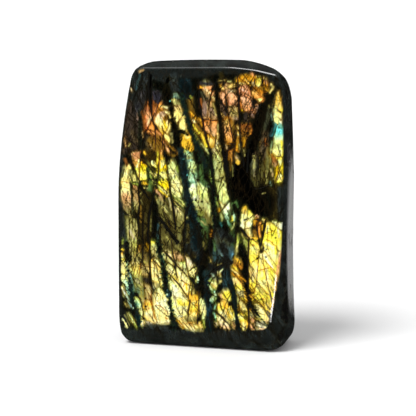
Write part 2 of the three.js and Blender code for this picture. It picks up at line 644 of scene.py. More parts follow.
def lay_marks(marks):
    """Lays marks of (look, half width, x, y, x, y, ...), those that aren't soft with a halo."""
    for look, half, *numbers in marks:
        if not look.startswith("soft "):
            lay_halo(look, stations_of(half, numbers))
    for look, half, *numbers in marks:
        edge = soft_edge + soft_widening * half if look.startswith("soft ") else crisp_edge
        lay_mark(look.removeprefix("soft "), edge, stations_of(half, numbers))
    print(len(marks), "marks laid")


# %% [markdown]
# The ground of the picture comes first, in wide soft shapes: dark slate along the ground
# borders where the plates don't flash, navy and olive deeps between the bright panes, and
# the nearly black foot, which turns away to the table. Its black lowest band is painted
# shade: the rounding under the foot mirrors the shadow where the stone meets the table.

# %% Dark grounds
dark_grounds = {
    "top border": ("body", 112, 52, 300, 52, 300, 90, 270, 84, 262, 74, 150, 76, 112, 90),
    "left border": ("body", 112, 76, 136, 76, 125, 120, 122, 200, 121, 300, 112, 320),
    "right border": ("body", 283, 76, 300, 76, 300, 352, 272, 352, 276, 300, 284, 230),
    "left slate": ("slate", 118, 196, 124, 204, 127, 240, 128, 262, 124, 262, 118, 240),
    "upper slate": ("slate>body", 128, 76, 178, 74, 180, 92, 168, 104, 150, 104, 128, 108),
    "upper navy": ("navy>dusk>navy", 179, 78, 191, 79, 192, 92, 190, 100, 179, 99),
    "right slate": ("slate>plum slate>slate", 275, 190, 283, 190, 284, 222, 277, 220),
    "upper bark": ("bark", 125, 112, 139, 114, 138, 150, 124, 150),
    "smoky pane": ("smoke>umber", 145.5, 136, 160, 137, 162, 150, 160, 161, 144, 161),
    "middle navy": ("navy", 178, 152, 188, 158, 191, 200, 199, 222, 202, 262, 190, 262, 183, 205),
    "olive columns": ("umber", 139, 188, 150, 196, 149, 240, 139, 242),
    "olive middle": ("moss", 159, 204, 171, 206, 177, 250, 161, 250, 158, 225),
    "olive right of it": ("moss", 176, 209, 186, 211, 183, 236, 183, 250, 173, 248),
    "slate olive": ("body>slate", 184, 232, 192, 236, 200, 256, 190, 258, 185, 250),
    "right umber": ("umber", 262, 158, 276, 160, 285, 184, 287, 222, 268, 218, 262, 190),
    "lower slate": ("slate>sage>tarn>slate", 214, 226, 235, 238, 234, 266, 222, 272, 212, 262),
    "peat": ("body", 200, 262, 232, 262, 232, 276, 206, 290, 194, 290),
    "lower navy": ("navy", 202, 276, 211, 280, 213, 336, 204, 336),
    "second navy": ("navy", 219, 271, 232, 270, 231, 290, 221, 291),
    "foot slate": ("slate", 121, 329, 275, 331, 286, 338, 272, 350, 128, 342, 120, 334),
    # Painted shade: black where the rounding under the foot mirrors the contact shadow
    "painted shade under the foot": ("black", 128, 341, 180, 343, 262, 346, 262, 362, 120, 362, 118, 338),
}
ground_edge = 2.4
for look, *numbers in dark_grounds.values():
    lay_mark(look, ground_edge, stations_of(0, numbers))
print(len(dark_grounds), "grounds laid")

# %% [markdown]
# Over the dark ground go soft glows. They are the light that plates deeper in the stone
# send back, between and behind the sharp panes: amber and peach at the top, olive and lime
# in the middle, khaki and gold below. Each is a broad stroke with a half width and a very
# soft edge, streaked along the plates.

# %% Glows
glow_edge, glow_streaks, glow_shift = 3.2, 0.42, 0.15


def lay_glow(look, half, stations):
    where = near([(x, y) for x, y, width in stations], half + glow_edge + 3)
    reach = line_reach(soft_x[where], soft_y[where], stations)
    tops = [y for x, y, width in stations]
    share = (pixel_y[where] - min(tops)) / (max(tops) - min(tops) + 1)
    colour = look_at(look, np.clip(share + ragged_share * flecks[where], 0, 1))
    colour = colour * (1 + glow_streaks * streaks[where, None] * golden_shift)
    cover = smooth(-reach / glow_edge - glow_shift)[:, None]
    canvas[where] += (np.clip(colour, 0, 1) - canvas[where]) * cover


glows = [
    ("bark", 5, 129, 105, 124, 150),
    ("copper>bronze", 8, 152, 106, 158, 125, 160, 145),
    ("clay", 3, 147, 110, 150, 122),
    ("orange>gold>bronze", 3.5, 160, 104, 162, 118, 166, 132),
    ("khaki>straw>khaki", 2.5, 175, 98, 179, 112, 184, 126),
    ("bronze>brown", 3.3, 190, 98, 194, 126, 198, 140),
    ("gold>saffron>gold", 3.2, 184, 134, 187, 144, 187, 151),
    ("khaki>tan>smoke", 4.2, 206, 84, 207, 102),
    ("tan>orange>gold>tan", 3.7, 209, 110, 211, 128, 215, 150),
    ("tan>clay>tan", 4.5, 226, 86, 231, 98, 233, 116),
    ("clay>peach>clay", 4.7, 244, 88, 248, 98, 251, 110),
    ("gold", 3.2, 238, 80, 247, 77, 257, 80, 266, 90),
    ("amber>orange", 3.5, 258, 90, 262, 100),
    ("amber>bronze>brown", 5.3, 226, 120, 234, 130, 246, 127),
    ("brown>umber", 3.8, 233, 140, 234, 158),
    ("khaki>lime>mint", 2.8, 275, 96, 276, 116),
    ("teal>cyan>sea", 2.3, 275, 122, 278, 130, 279, 138),
    ("pear>yellow>khaki", 3, 276, 140, 278, 156),
    ("gold>honey", 2.8, 277, 160, 278, 177),
    ("bronze>olive>moss", 5, 262, 144, 269, 158, 262, 178),
    ("sage>moss", 3.7, 255, 140, 254, 170, 258, 190),
    ("straw>tan>khaki", 3.5, 127, 168, 125, 184, 126, 204),
    ("orange>gold>khaki", 3.3, 135, 158, 141, 168, 140, 180),
    ("olive>leaf>green", 3.7, 149, 164, 150, 178, 149, 190),
    ("gold>yellow>khaki", 4.3, 160, 160, 163, 176, 165, 190),
    ("khaki>cream>pear", 3.3, 172, 162, 176, 180, 179, 196),
    ("sea>mint>pear", 3, 188, 152, 192, 170, 196, 192),
    ("sea>khaki>olive", 4.2, 202, 184, 206, 204, 207, 222),
    ("green>pine", 2.8, 206, 228, 206, 244),
    ("khaki>pear>khaki", 2.9, 216, 148, 220, 168, 224, 190, 225, 208),
    ("sea>green>pine", 2.3, 229, 206, 232, 226, 233, 244),
    ("khaki>olive>khaki", 3.3, 130, 216, 132, 236, 133, 258),
    ("olive>olive>moss", 6, 162, 202, 168, 220, 178, 242),
    ("pear>straw", 2.8, 245, 210, 246, 222, 249, 236),
    ("amber>brown", 2.8, 256, 218, 257, 236),
    ("gold>yellow>yellow>gold", 4.4, 272, 228, 272, 250, 270, 276, 269, 304),
    ("khaki>yellow>gold", 3, 252, 242, 253, 262, 252, 286),
    ("gold>yellow", 3.2, 260, 284, 264, 300, 266, 314),
    ("sea>khaki>sea", 3.5, 125, 258, 127, 276, 129, 292),
    ("tan>khaki>khaki", 3.8, 137, 254, 138, 268, 139, 286),
    ("brown>tan>dark smoke", 2.8, 145, 246, 146, 266, 146, 282),
    ("khaki>straw>khaki", 3.2, 154, 250, 155, 268, 156, 286),
    ("tan>straw", 4.3, 148, 298, 150, 312, 152, 320),
    ("cream", 5, 158, 296, 162, 310, 161, 319),
    ("olive>khaki>pear", 4.2, 168, 252, 176, 262, 185, 274),
    ("khaki>pear", 2.8, 168, 266, 176, 278, 182, 288),
    ("cream", 5, 176, 292, 180, 306, 180, 314),
    ("gold>pear>gold", 3.7, 190, 296, 193, 308, 191, 322),
    ("tan>pear", 3.5, 182, 324, 196, 328),
    ("deep teal>tarn>deep teal", 1.8, 162, 258, 167, 284, 171, 316),
    ("khaki>green", 2.2, 212, 280, 213, 290),
    ("khaki>gold>pear", 3.8, 225, 292, 225, 306, 226, 322),
    ("brown>bronze>gold", 3, 236, 258, 238, 272, 240, 292),
    ("gold>pear>yellow", 3, 243, 304, 244, 316, 243, 326),
    ("khaki>cream", 2.8, 256, 312, 262, 322, 259, 328),
]
for look, half, *numbers in glows:
    lay_glow(look, half, stations_of(half, numbers))
print(len(glows), "glows laid")

# %% [markdown]
# The marks of the upper left. The border stays dark slate. From it hang slivers of gold
# and salmon, with slate ones between them.

# %% Marks of the upper left
upper_left = [
    # The dark border
    ("soft body", 5.7, 136, 74, 205, 72),
    ("soft pitch", 4.3, 153, 84, 166, 88, 168, 102),
    ("soft black", 1.5, 150, 76, 150, 104),
    ("soft plum slate", 4, 142, 94, 140, 104, 136, 112),
    ("soft bark", 3.7, 130, 112, 135, 144),
    ("soft tarn", 1.1, 140, 75, 136, 90),
    ("plum", 0, 152, 92, 158, 90, 162, 97, 158, 105, 153, 100),
    ("soft navy", 0, 181, 81, 186, 79, 196, 92, 190, 99, 184, 98, 180, 91),
    ("soft slate", 3, 174, 75, 174, 86),
    ("tan", 0.8, 138.5, 72.4, 144, 70),
    ("beige", 0.5, 131.2, 90, 131.5, 90.6),
    # Bark brown at the left
    ("soft mauve", 0.6, 137, 113, 137.5, 121),
    ("soft smoke", 2.4, 132, 132, 136, 141),
    ("tan", 0.4, 124.3, 137.5, 126, 146),
    ("khaki", 0.5, 129, 146, 130.5, 143.5),
    # The peach pane and its streaks
    ("soft copper", 1.2, 142, 112, 144, 122, 144, 131),
    ("peach", 0, 146, 112, 150, 112, 151, 117, 149, 123, 147, 127, 146, 122),
    ("white", 0.6, 150.7, 117.5, 148, 123),
    ("rust", 0.4, 145.2, 115, 146.3, 121, 146, 129),
    ("tan", 0.5, 142, 132.5, 143, 137),
    ("apricot", 0.8, 157, 106, 154.3, 116),
    # Orange under it
    ("orange", 0, 151, 120, 154, 126, 154, 131, 148, 128),
    ("orange>apricot", 1.2, 148, 131, 154, 134),
    # The large gold pane
    ("salmon>cream>gold", 0, 158, 113, 161, 111, 165, 112, 168, 120, 168, 125, 166, 130, 164, 134,
     162, 134, 155, 122, 156, 117),
    ("soft saffron", 1.1, 164, 121, 166, 128),
    ("bronze", 0, 163, 117, 167, 114, 169, 119, 166, 122),
    ("copper", 0.4, 161, 115.5, 165, 120.5),
    # Its lemon fringe
    ("khaki", 0.9, 160, 106, 167, 107),
    ("cream", 0.6, 162, 107, 167.5, 107.6),
    ("cream", 0.8, 165.5, 111.8, 168.7, 113.5),
    ("lemon", 0.5, 169.5, 116, 170.3, 119),
    ("lemon", 0.8, 169.7, 123.5, 169, 128, 167.3, 132),
    # Under the crossing of the cracks
    ("lemon", 0, 164, 134, 168, 135, 170, 139, 169, 143, 164, 137),
    ("soft khaki", 1.2, 171, 134, 172, 138, 172, 142),
    ("apricot", 1, 164, 142, 169, 152),
    ("soft bronze", 1.5, 167, 145, 173, 149, 177, 153),
    ("soft bronze", 2.8, 150, 140, 154, 147, 160, 150),
    ("apricot", 0.4, 156.6, 131, 160.5, 134.5),
    ("tan", 0.7, 150.5, 145, 152, 148),
    # The lime and yellow column
    ("mist", 0, 172, 98, 173, 94, 177, 93, 180, 98, 177, 100),
    ("pear", 0, 171, 100, 174, 98, 177, 99, 180, 104, 178, 106, 174, 104),
    ("tan>lemon>lemon", 0, 174, 107, 176, 104, 180, 106, 183, 114, 181, 118, 176, 123, 174, 116),
    ("lemon", 0, 180, 121, 184, 114, 186, 128, 184, 130, 180, 129, 179, 126),
    ("khaki>gold", 0.8, 185.5, 128, 187.3, 134),
    ("gold", 0, 182, 138, 186, 134, 191, 136, 193, 150, 190, 152, 182, 146, 181, 142),
    ("lemon", 0.6, 185, 135.5, 186.7, 138.3, 189.3, 137),
    # Right of it
    ("leaf", 0.9, 190, 96, 191, 98),
    ("gold", 0.6, 190.6, 112.3, 197, 119.5),
    ("cream", 0, 192, 120, 194, 119, 197, 122, 195, 124),
    ("soft bronze", 1.9, 195, 125, 202, 133),
    ("yellow", 0.6, 192.8, 124.5, 195, 128, 201.5, 135.3),
    ("gold", 0.5, 198.5, 118, 200.7, 120.5),
    ("honey", 0.5, 201, 122.5, 202, 126),
    ("soft leaf>olive", 1.1, 194, 132, 201, 143),
    ("gold>yellow", 1.2, 201, 133, 206, 146),
    ("pear", 0.8, 201.5, 144.5, 209.5, 154),
    # Along the foot of this part
    ("tan", 1.5, 132, 154, 138, 153),
    ("gold", 0.6, 144.3, 152, 145.5, 154.5),
]
lay_marks(upper_left)

# %% [markdown]
# The marks of the upper right: a fan of gold and peach in the middle, and at the edge a
# ladder that goes from gold over lime to one bright cyan step.

# %% Marks of the upper right
upper_right = [
    # The dark border, and the stone between the flashes
    ("soft umber", 2.5, 221, 74, 222, 79),
    ("soft plum slate", 1.7, 200, 83, 212, 84),
    ("soft sage", 1.3, 201, 92, 206, 98),
    ("soft pitch", 3.7, 262, 108, 254, 148),
    ("soft pitch", 2.5, 271, 95, 265, 104),
    ("soft sage", 2.3, 270, 108, 267, 120, 263, 132),
    ("soft smoke", 3.7, 265, 134, 264, 145, 262, 156),
    # Beige and peach at the left
    ("gold", 0.8, 200, 87, 203, 88),
    ("apricot", 0, 202, 88, 207, 86, 212, 86, 210, 94),
    ("white", 0.7, 205, 88.5, 209.5, 93),
    ("soft mauve", 0, 204, 101, 208, 101, 207, 110, 206, 118, 202, 115, 202, 106),
    ("beige", 0.6, 208, 103.5, 207.7, 108),
    ("copper", 0.8, 201, 99, 201.3, 107),
    ("peach>tan", 0, 212, 93, 214, 92, 216, 100, 212, 100),
    ("cream", 0.6, 212.5, 97, 214.5, 99),
    ("tan", 0.9, 211, 101, 211, 106),
    ("mauve>tan", 0, 210, 109, 213, 108, 216, 113, 217, 119, 213, 120, 208, 116),
    ("khaki", 0.9, 213, 104, 216, 115),
    ("tan", 0.7, 203, 117.5, 206, 117.5),
    # The orange column
    ("orange>apricot>tan", 0, 204, 121, 210, 120, 217, 122, 216, 127, 217, 134, 214, 137, 205, 130),
    ("khaki", 0.6, 217.7, 124, 217.8, 132),
    ("gold>straw>honey", 0, 207, 134, 210, 136, 215, 140, 214, 147, 211, 148, 208, 141),
    ("straw", 0.6, 217.5, 134, 218, 138),
    ("lemon>white>cream", 0.8, 216.3, 140, 217.5, 143, 215.7, 146.5),
    ("lemon", 0.6, 216, 146.5, 218.5, 149, 219.7, 147),
    # The rose column
    ("khaki", 0.5, 219.7, 80.7, 225, 80.5),
    ("gold>straw", 0.8, 221, 86, 222.5, 88.4, 225, 88.6),
    ("peach", 0, 220, 92, 225, 94, 224, 104, 222, 100, 220, 95),
    ("mauve>bark", 0, 220, 104, 223, 106, 228, 116, 225, 117, 221, 110),
    ("straw>tan", 0.7, 221.5, 113.5, 223.5, 116, 224, 118),
    ("straw", 0, 228, 86, 233, 84, 236, 85, 235, 87, 227, 89),
    ("pear", 0.6, 227, 81.3, 231, 82),
    ("beige", 1, 229, 92, 234, 91),
    ("peach", 0, 228, 94, 231, 92, 237, 96, 238, 104, 232, 104, 229, 99),
    ("tan>khaki>mauve", 0, 229, 106, 233, 105, 238, 108, 238, 121, 230, 116),
    # The right column under it
    ("straw>apricot>honey", 0, 223, 122, 228, 119, 232, 136, 232, 142, 227, 146, 225, 138),
    ("tan", 0.7, 226, 144, 226.7, 149),
    ("cream", 0.5, 237.6, 127, 238.3, 129),
    ("cream", 0.6, 238.3, 133, 238.8, 136),
    ("bronze>honey", 1.2, 238, 137, 238, 142, 237, 147),
    ("soft amber", 1.2, 236, 149, 238, 151),
    # The red heart
    ("peach>clay>peach", 0, 239, 88, 241, 87, 246, 87, 251, 91, 250, 98, 241, 95, 239, 93),
    ("salmon", 0.9, 242, 89, 247, 92),
    ("salmon>apricot", 0, 240, 96, 246, 98, 250, 101, 250, 109, 246, 111, 243, 110),
    ("saffron", 0.6, 242, 110, 243, 111),
    ("orange", 0.5, 240.7, 101.5, 241.7, 108),
    ("bark", 1.7, 253, 102, 254, 108),
    ("peach", 0.7, 256.5, 105, 255.3, 109, 253.5, 111.8),
    ("mauve", 0.6, 257.5, 107, 256.3, 112),
    ("mauve", 0.7, 251.3, 112, 253, 117),
    ("soft bark", 2.5, 246, 114, 246, 120),
    ("beige", 0.2, 248.3, 116, 248, 122),
    # The gold fan above it
    ("soft honey", 2.6, 240, 80, 246, 77, 255, 79, 266, 86),
    ("lemon>straw", 0, 238, 84, 240, 82, 246, 84, 244, 84),
    ("gold", 0.5, 241, 77, 250, 84.8),
    ("straw", 0.5, 244.5, 79, 249.5, 83.5),
    ("apricot", 0.6, 252, 74, 253.7, 76.3),
    ("yellow>lemon", 0, 256, 78, 261, 78, 262, 84, 259, 87, 256, 84),
    ("pear", 0.6, 257, 76.6, 260.5, 76.3),
    ("apricot", 0.9, 265, 81, 266, 84),
    ("khaki", 0.6, 263.7, 78, 266, 79.3),
    ("white", 0.4, 253.3, 82.5, 253.8, 86),
    ("amber", 1.5, 255, 88, 262, 92, 265, 92),
    ("straw>orange", 0, 252, 92, 254, 90, 261, 97, 258, 98, 252, 98),
    ("lemon", 0, 258, 99, 261, 98, 262, 99, 261, 101, 259, 101),
    ("lemon", 0.7, 271, 84.5, 272.7, 88, 269.3, 93.8),
    # The ladder under the heart
    ("soft copper>bronze", 0, 240, 124, 252, 124, 253, 134, 246, 139, 241, 134),
    ("honey", 1, 244, 138, 244, 146),
    ("khaki", 0.4, 239.7, 144, 240, 149),
    # The right edge
    ("pear", 0.7, 269, 105.5, 270.5, 108),
    ("straw>gold>straw>yellow", 0, 277, 92, 279, 92, 282, 108, 282, 112, 276, 107, 276, 97),
    ("lemon", 0.7, 278, 96, 278, 102, 279.5, 108),
    ("pear>lemon>cream", 0, 273, 111, 276, 110, 281, 114, 282, 118, 281, 119),
    ("lime", 0, 274, 114, 280, 119, 280, 123, 277, 124, 274, 120),
    ("white", 0.8, 280.7, 121.5, 281, 124),
    ("soft lichen", 0.7, 271.5, 112, 272.5, 120),
    ("sea>cyan", 0, 279, 122, 282, 124, 282, 128, 278, 126),
    ("cyan>cyan>mint>lime", 0, 278, 128, 282, 129, 283, 138, 282, 143, 276, 141, 274, 136),
    ("teal", 0.6, 283.3, 131, 284.3, 138, 284, 145),
    ("soft teal", 0.8, 275, 128, 272.5, 136),
    ("soft tarn", 0.8, 272.5, 128, 270.5, 136),
    ("lime", 0, 276, 140, 282, 141, 283, 144, 277, 144, 274, 142),
    ("sea>pear", 0.7, 272.8, 141, 271.3, 148, 271, 156),
    ("pear>lime>yellow", 0, 274, 144, 282, 144, 283, 156, 272, 156),
    ("yellow", 0.8, 281.3, 141, 282, 156),
    # Between the right edge and the black trunk
    ("copper", 1, 265, 139, 266, 145),
]
lay_marks(upper_right)

# %% [markdown]
# The marks of the middle left: tall narrow steps of cream and gold along the edge, and
# olive and khaki plates further in.

# %% Marks of the middle left
middle_left = [
    # The ground
    ("soft body", 2.5, 120, 205, 121, 246),
    ("soft umber", 5.5, 146, 196, 146, 240),
    ("soft moss", 6, 166, 206, 172, 228, 174, 243),
    ("soft pitch", 2.8, 155, 206, 156, 240),
    ("soft brown", 3.5, 150, 154, 152, 160),
    # The left column
    ("soft copper", 1.5, 125, 159, 127, 165),
    ("straw", 0.8, 126, 169, 129, 166, 130, 168.5),
    ("cream>straw>cream>apricot>tan>olive", 0, 124, 172, 127, 173, 130, 177, 131, 214, 127, 213,
     124, 209, 122, 200, 121, 190, 122, 178),
    ("khaki", 0.7, 131.3, 171.5, 131.7, 178.5),
    ("lemon", 0, 133, 174, 135, 176, 136, 181, 133, 181),
    ("leaf", 0.7, 133.5, 183.3, 137.3, 184.5),
    ("apricot>tan>tan>khaki>olive", 0, 133, 185, 136, 186, 138, 192, 139, 200, 138, 213, 135, 212,
     133, 193),
    ("soft sage", 0.9, 131, 184, 132, 200, 133, 210),
    ("clay>apricot", 0, 132, 154, 136, 152, 140, 152, 140, 158, 137, 162, 134, 158),
    ("cream", 0.8, 139, 160.5, 137, 167),
    ("orange", 0.6, 133.5, 162, 136, 166.5),
    ("yellow>lemon", 0.9, 137, 169, 138, 174),
    # The yellow pane and the green beside it
    ("orange>saffron>yellow>lemon>yellow", 0, 141, 160, 147, 166, 146, 170, 147, 180, 143, 181, 140, 180,
     140, 168),
    ("soft pine", 1.3, 148, 168, 148, 175, 150, 181),
    ("lemon", 0.7, 151, 172.7, 154.5, 176.7),
    ("cream>lemon>yellow", 0, 150, 162, 153, 160, 156, 164, 157, 170, 151, 166),
    ("yellow", 0.8, 156, 167.5, 157, 171, 156, 175.5),
    ("white", 0.5, 155.5, 173, 156.5, 175.3),
    ("gold", 0.9, 143, 183, 147, 184),
    ("khaki", 0.9, 144, 188, 148, 188),
    ("pear", 0.6, 153, 180.5, 155.7, 184.5),
    # Above and below the crossing at (157, 184)
    ("apricot>gold", 0.9, 161, 151, 162, 158),
    ("lemon>cream>lime", 0, 161, 160, 164, 160, 165, 164, 161, 170),
    ("saffron", 0.7, 161, 170, 165.3, 165.5, 166.3, 169.5),
    ("yellow", 0.5, 157.7, 152, 157.7, 162, 157, 165),
    ("pear>lemon>lime", 0, 159, 176, 161, 172, 164, 171, 167, 174, 168, 178, 160, 179),
    ("yellow>saffron>straw", 0, 158, 182, 160, 180, 168, 181, 169, 192, 160, 185),
    ("lemon>cream", 0.6, 158.3, 186.3, 163, 189.7, 168, 194.7),
    ("yellow>gold", 0.7, 158, 189, 168, 197),
    ("peach>mauve", 0.9, 156, 190, 158, 193, 162, 197),
    ("soft tan>khaki", 1.6, 160, 197, 164, 203),
    ("beige>khaki", 0.8, 169, 198, 171.5, 210),
    # The lime column
    ("soft bronze", 1.2, 168, 153, 173, 156, 177, 154),
    ("pear>lime>cream>pear", 0, 168, 165, 171, 162, 174, 161, 176, 166, 175, 172, 173, 177, 171, 179,
     169, 176),
    ("leaf", 0.8, 176.5, 167, 177.5, 172),
    ("lime>cream>cream>lime", 0, 172, 179, 176, 175, 180, 179, 182, 186, 182, 192, 180, 197, 177, 198,
     173, 196, 171, 192, 171, 184),
    # The slanted stripes under it
    ("lime>pear", 0.6, 173.5, 198.5, 184, 206.7),
    ("lime", 0.7, 178.5, 198.5, 182, 201.5, 184, 204.3),
    ("khaki", 0.5, 173, 201.5, 183, 210.3),
    ("soft beige>khaki>olive", 0, 174, 206, 178, 208, 183, 213, 184, 220, 182, 224, 178, 221, 175, 214),
    # The mint column
    ("sea>khaki", 0, 184, 154, 188, 152, 192, 154, 193, 158, 188, 160, 185, 158),
    ("mint", 0.7, 186.5, 154, 190, 155),
    ("mint>lime", 0, 188, 163, 190, 161, 194, 161, 196, 165, 196, 169, 190, 169, 188, 167),
    ("lime>sea>mint>sea", 0, 190, 171, 194, 170, 197, 174, 196, 178, 196, 183, 191, 183, 188, 179,
     188, 175),
    ("mint", 0.9, 191, 173, 191, 178),
    ("mint>white>lime>white", 0, 191, 184, 194, 183, 197, 184, 196, 197, 194, 200, 192, 199, 189, 192,
     189, 189),
    ("lime>pear>khaki", 0, 192, 200, 196, 200, 201, 202, 204, 207, 198, 208, 194, 205),
    ("khaki>leaf", 0, 196, 208, 201, 207, 204, 211, 204, 216, 199, 216, 196, 212),
    ("soft green", 0, 195, 218, 199, 217, 206, 219, 206, 228, 202, 227, 197, 222),
    # The olive ground below
    ("olive>khaki>khaki>pear", 0, 125, 216, 136, 218, 138, 230, 138, 245, 130, 245, 128, 239),
    ("beige", 1.2, 130, 231, 134, 239),
    ("soft khaki>moss", 1.1, 141, 194, 142, 204),
    ("bronze", 0.6, 140.5, 206, 141, 222),
    ("soft moss", 1.3, 146, 212, 145, 232),
    ("olive", 0.6, 151, 213, 150.7, 231),
    ("khaki", 0.4, 155.5, 195.5, 158.5, 204),
    ("soft khaki>olive>olive>moss", 0, 159, 205, 163, 202, 168, 208, 170, 226, 165, 224, 160, 216),
    ("soft khaki", 1.2, 163, 207, 166, 212),
    ("soft moss>olive>olive", 0, 160, 231, 164, 229, 169, 237, 172, 247, 162, 247),
    ("soft khaki>olive", 0.9, 170, 216, 172, 225),
    ("soft olive", 1.8, 178, 224, 180, 240),
    ("khaki", 0.7, 186.3, 218, 188, 216.8),
    ("soft moss", 1.7, 188, 226, 188, 243),
    ("soft tarn", 1, 158, 224, 158, 244),
]
lay_marks(middle_left)

# %% [markdown]
# The marks of the middle right, where green and gold plates stand beside a dark hollow.

# %% Marks of the middle right
middle_right = [
    # The ground
    ("soft black", 8.2, 242, 168, 240, 184, 252, 196, 258, 206),
    ("soft pitch", 4.7, 262, 190, 270, 200, 268, 212),
    ("soft slate", 3.3, 280, 190, 281, 217),
    ("soft body", 3, 222, 231, 232, 240),
    ("soft slate", 2, 220, 231, 222, 236),
    # Green at the left
    ("soft green", 1.9, 201, 166, 201, 178, 204, 184),
    ("green>leaf>green", 0.8, 209.7, 171, 212.3, 184),
    ("green>mist", 1, 206, 182, 208, 187),
    # The lime patch left of the middle band
    ("pear>lime>lime>khaki", 0, 198, 181, 207, 189, 209, 203, 198, 203, 197, 192),
    ("white", 0.6, 197.5, 195, 198, 199),
    ("green", 0.9, 202, 194, 202, 199),
    ("pear>khaki>olive", 0, 204, 204, 210, 203, 213, 220, 210, 222),
    ("lime", 0.7, 208, 205, 210, 212),
    ("khaki", 0.6, 201, 220, 205.5, 225),
    ("olive", 0.9, 210, 217, 212, 224),
    ("soft green>pine", 1.1, 202, 230, 204, 240),
    ("umber", 0.9, 205, 232, 206, 243),
    ("amber", 0.5, 211.5, 230, 211, 236),
    # Inside the dark band
    ("pine>leaf>olive", 0.6, 215.3, 196, 218.3, 208.5),
    # The long khaki and lime pane
    ("khaki>pear>pear>khaki", 0, 214, 157, 216, 150, 219, 152, 222, 158, 225, 180, 221, 181, 216, 180,
     213, 164),
    ("lime", 0.8, 217, 152, 217.7, 157),
    ("pear>lime>pear", 0, 216, 182, 221, 183, 225, 182, 228, 191, 224, 191, 222, 196, 221, 205, 220, 202),
    ("lime", 0.8, 218.5, 184, 219, 190),
    ("pear>lime>pear", 0, 224, 192, 227, 190, 229, 194, 229, 199, 222, 206, 222, 202),
    ("straw>cream>pear", 0, 220, 202, 222, 203, 224, 206, 222, 210, 221, 208),
    ("honey", 0.8, 218.7, 208.5, 219.7, 211.5),
    # The mint ones beyond the crack
    ("mint>white>mint>sea", 0, 223, 211, 229, 202, 230, 208, 228, 213, 229, 218, 228, 222, 226, 219),
    ("sea", 0.7, 227.5, 221, 229.3, 224.5),
    ("pear", 0, 220, 214, 221, 213, 223, 217, 222, 221, 221, 218),
    ("teal", 0.6, 220.7, 223.3, 221.5, 225.7),
    ("sea>mint>sea", 0.8, 233, 212.5, 234.3, 215.5, 233.8, 220.5),
    ("pear>yellow", 0.8, 232.3, 216, 232.3, 220),
    ("pear", 0.5, 234.3, 223.5, 231.7, 229.5),
    ("green>pine", 0.9, 232, 204, 236, 202, 238, 208),
    ("olive>leaf>leaf", 1, 238, 234, 238, 241, 237, 246),
    # Brown slivers at the top
    ("amber", 0.6, 229, 151, 229, 160),
    ("orange>bronze", 0.6, 231.3, 150.5, 230.7, 170),
    ("olive", 0.5, 232.7, 166, 232.7, 176),
    ("tan>gold", 0, 235, 156, 237, 157, 240, 161, 240, 164, 238, 165, 236, 163),
    ("salmon", 0.3, 236, 156.3, 239.3, 160.5),
    ("khaki", 0.5, 243.7, 150, 245, 156),
    # Grey olive and umber columns
    ("soft smoke>sage>moss", 0, 250, 152, 257, 151, 258, 170, 257, 181, 251, 180, 250, 165),
    ("soft khaki", 1.2, 254, 156, 254, 168),
    ("soft beige", 0.8, 254.5, 170, 254.7, 176),
    ("soft moss", 1.2, 260, 155, 260, 170),
    ("khaki", 0.7, 266.5, 171, 266.7, 183),
    ("lichen", 0.8, 269.5, 182, 271.5, 185),
    ("khaki", 0.5, 262.5, 193.5, 265.3, 192.7),
    # The amber right edge
    ("amber>copper>tan", 0, 271, 153, 275, 156, 278, 160, 278, 165, 274, 167, 272, 162),
    ("khaki>tan>khaki", 0.9, 271, 169, 274, 180),
    ("cream>lemon", 0, 272, 150, 282, 150, 282, 156, 276, 156),
    ("yellow>cream>yellow>gold", 0, 276, 157, 282, 157, 282, 172, 279, 173, 279, 164),
    ("saffron", 0.5, 277.3, 166, 275.8, 180),
    ("saffron", 0.4, 282, 163, 282.2, 178),
    ("lemon>cream>straw>yellow", 0, 279, 173, 282, 175, 282, 181, 279, 183, 276, 182),
    ("khaki", 0.4, 284, 166, 284, 172),
    ("lemon", 0.4, 283.4, 173.5, 283.5, 178.5),
    ("honey", 0.4, 284.3, 174, 284.3, 182),
    # Small things in the slate
    ("khaki", 0.4, 286, 207.5, 284, 211),
    # The cream and amber corner
    ("gold>straw", 0, 244, 206, 246, 206, 247, 210, 246, 216, 243, 216, 242, 210),
    ("cream>lemon>white>cream", 0, 242, 214, 246, 214, 247, 218, 244, 223, 244, 230, 241, 226, 241, 219),
    ("yellow>lemon", 0, 248, 210, 250, 211, 253, 215, 251, 218, 248, 218),
    ("cream>lemon>white>cream", 0, 250, 218, 253, 217, 253, 219, 250, 227, 246, 228, 246, 226, 247, 220),
    ("peach", 0.6, 256, 215.3, 258.3, 216.4),
    ("straw", 0.7, 263, 219.5, 264.7, 220.5, 264, 221.8),
    ("khaki>leaf>khaki", 1, 242, 234, 246, 241, 248, 246),
    ("gold>amber", 0.8, 254, 221, 254.7, 225.5),
    ("soft bronze", 1.7, 254, 231, 256, 237),
    ("gold", 0.5, 252.5, 237.7, 257.3, 238.5),
    ("orange", 0.6, 260, 223, 258.8, 230, 260.7, 236.5),
    ("honey", 0.6, 262.3, 225.5, 262.3, 230),
    # The tall yellow pane at the right
    ("straw>yellow>yellow>lemon", 0, 267, 221, 273, 224, 283, 233, 282, 247, 262, 247),
    ("lemon>white>cream", 0, 272, 221, 283, 224, 283, 232),
    ("cream", 1, 268, 226, 267, 233),
    ("cream", 1.1, 278, 229, 279, 237),
]
lay_marks(middle_right)

# %% [markdown]
# The marks of the lower left: chips of yellow along the edge, beside wide panes of lime,
# khaki and gold with brown seams.

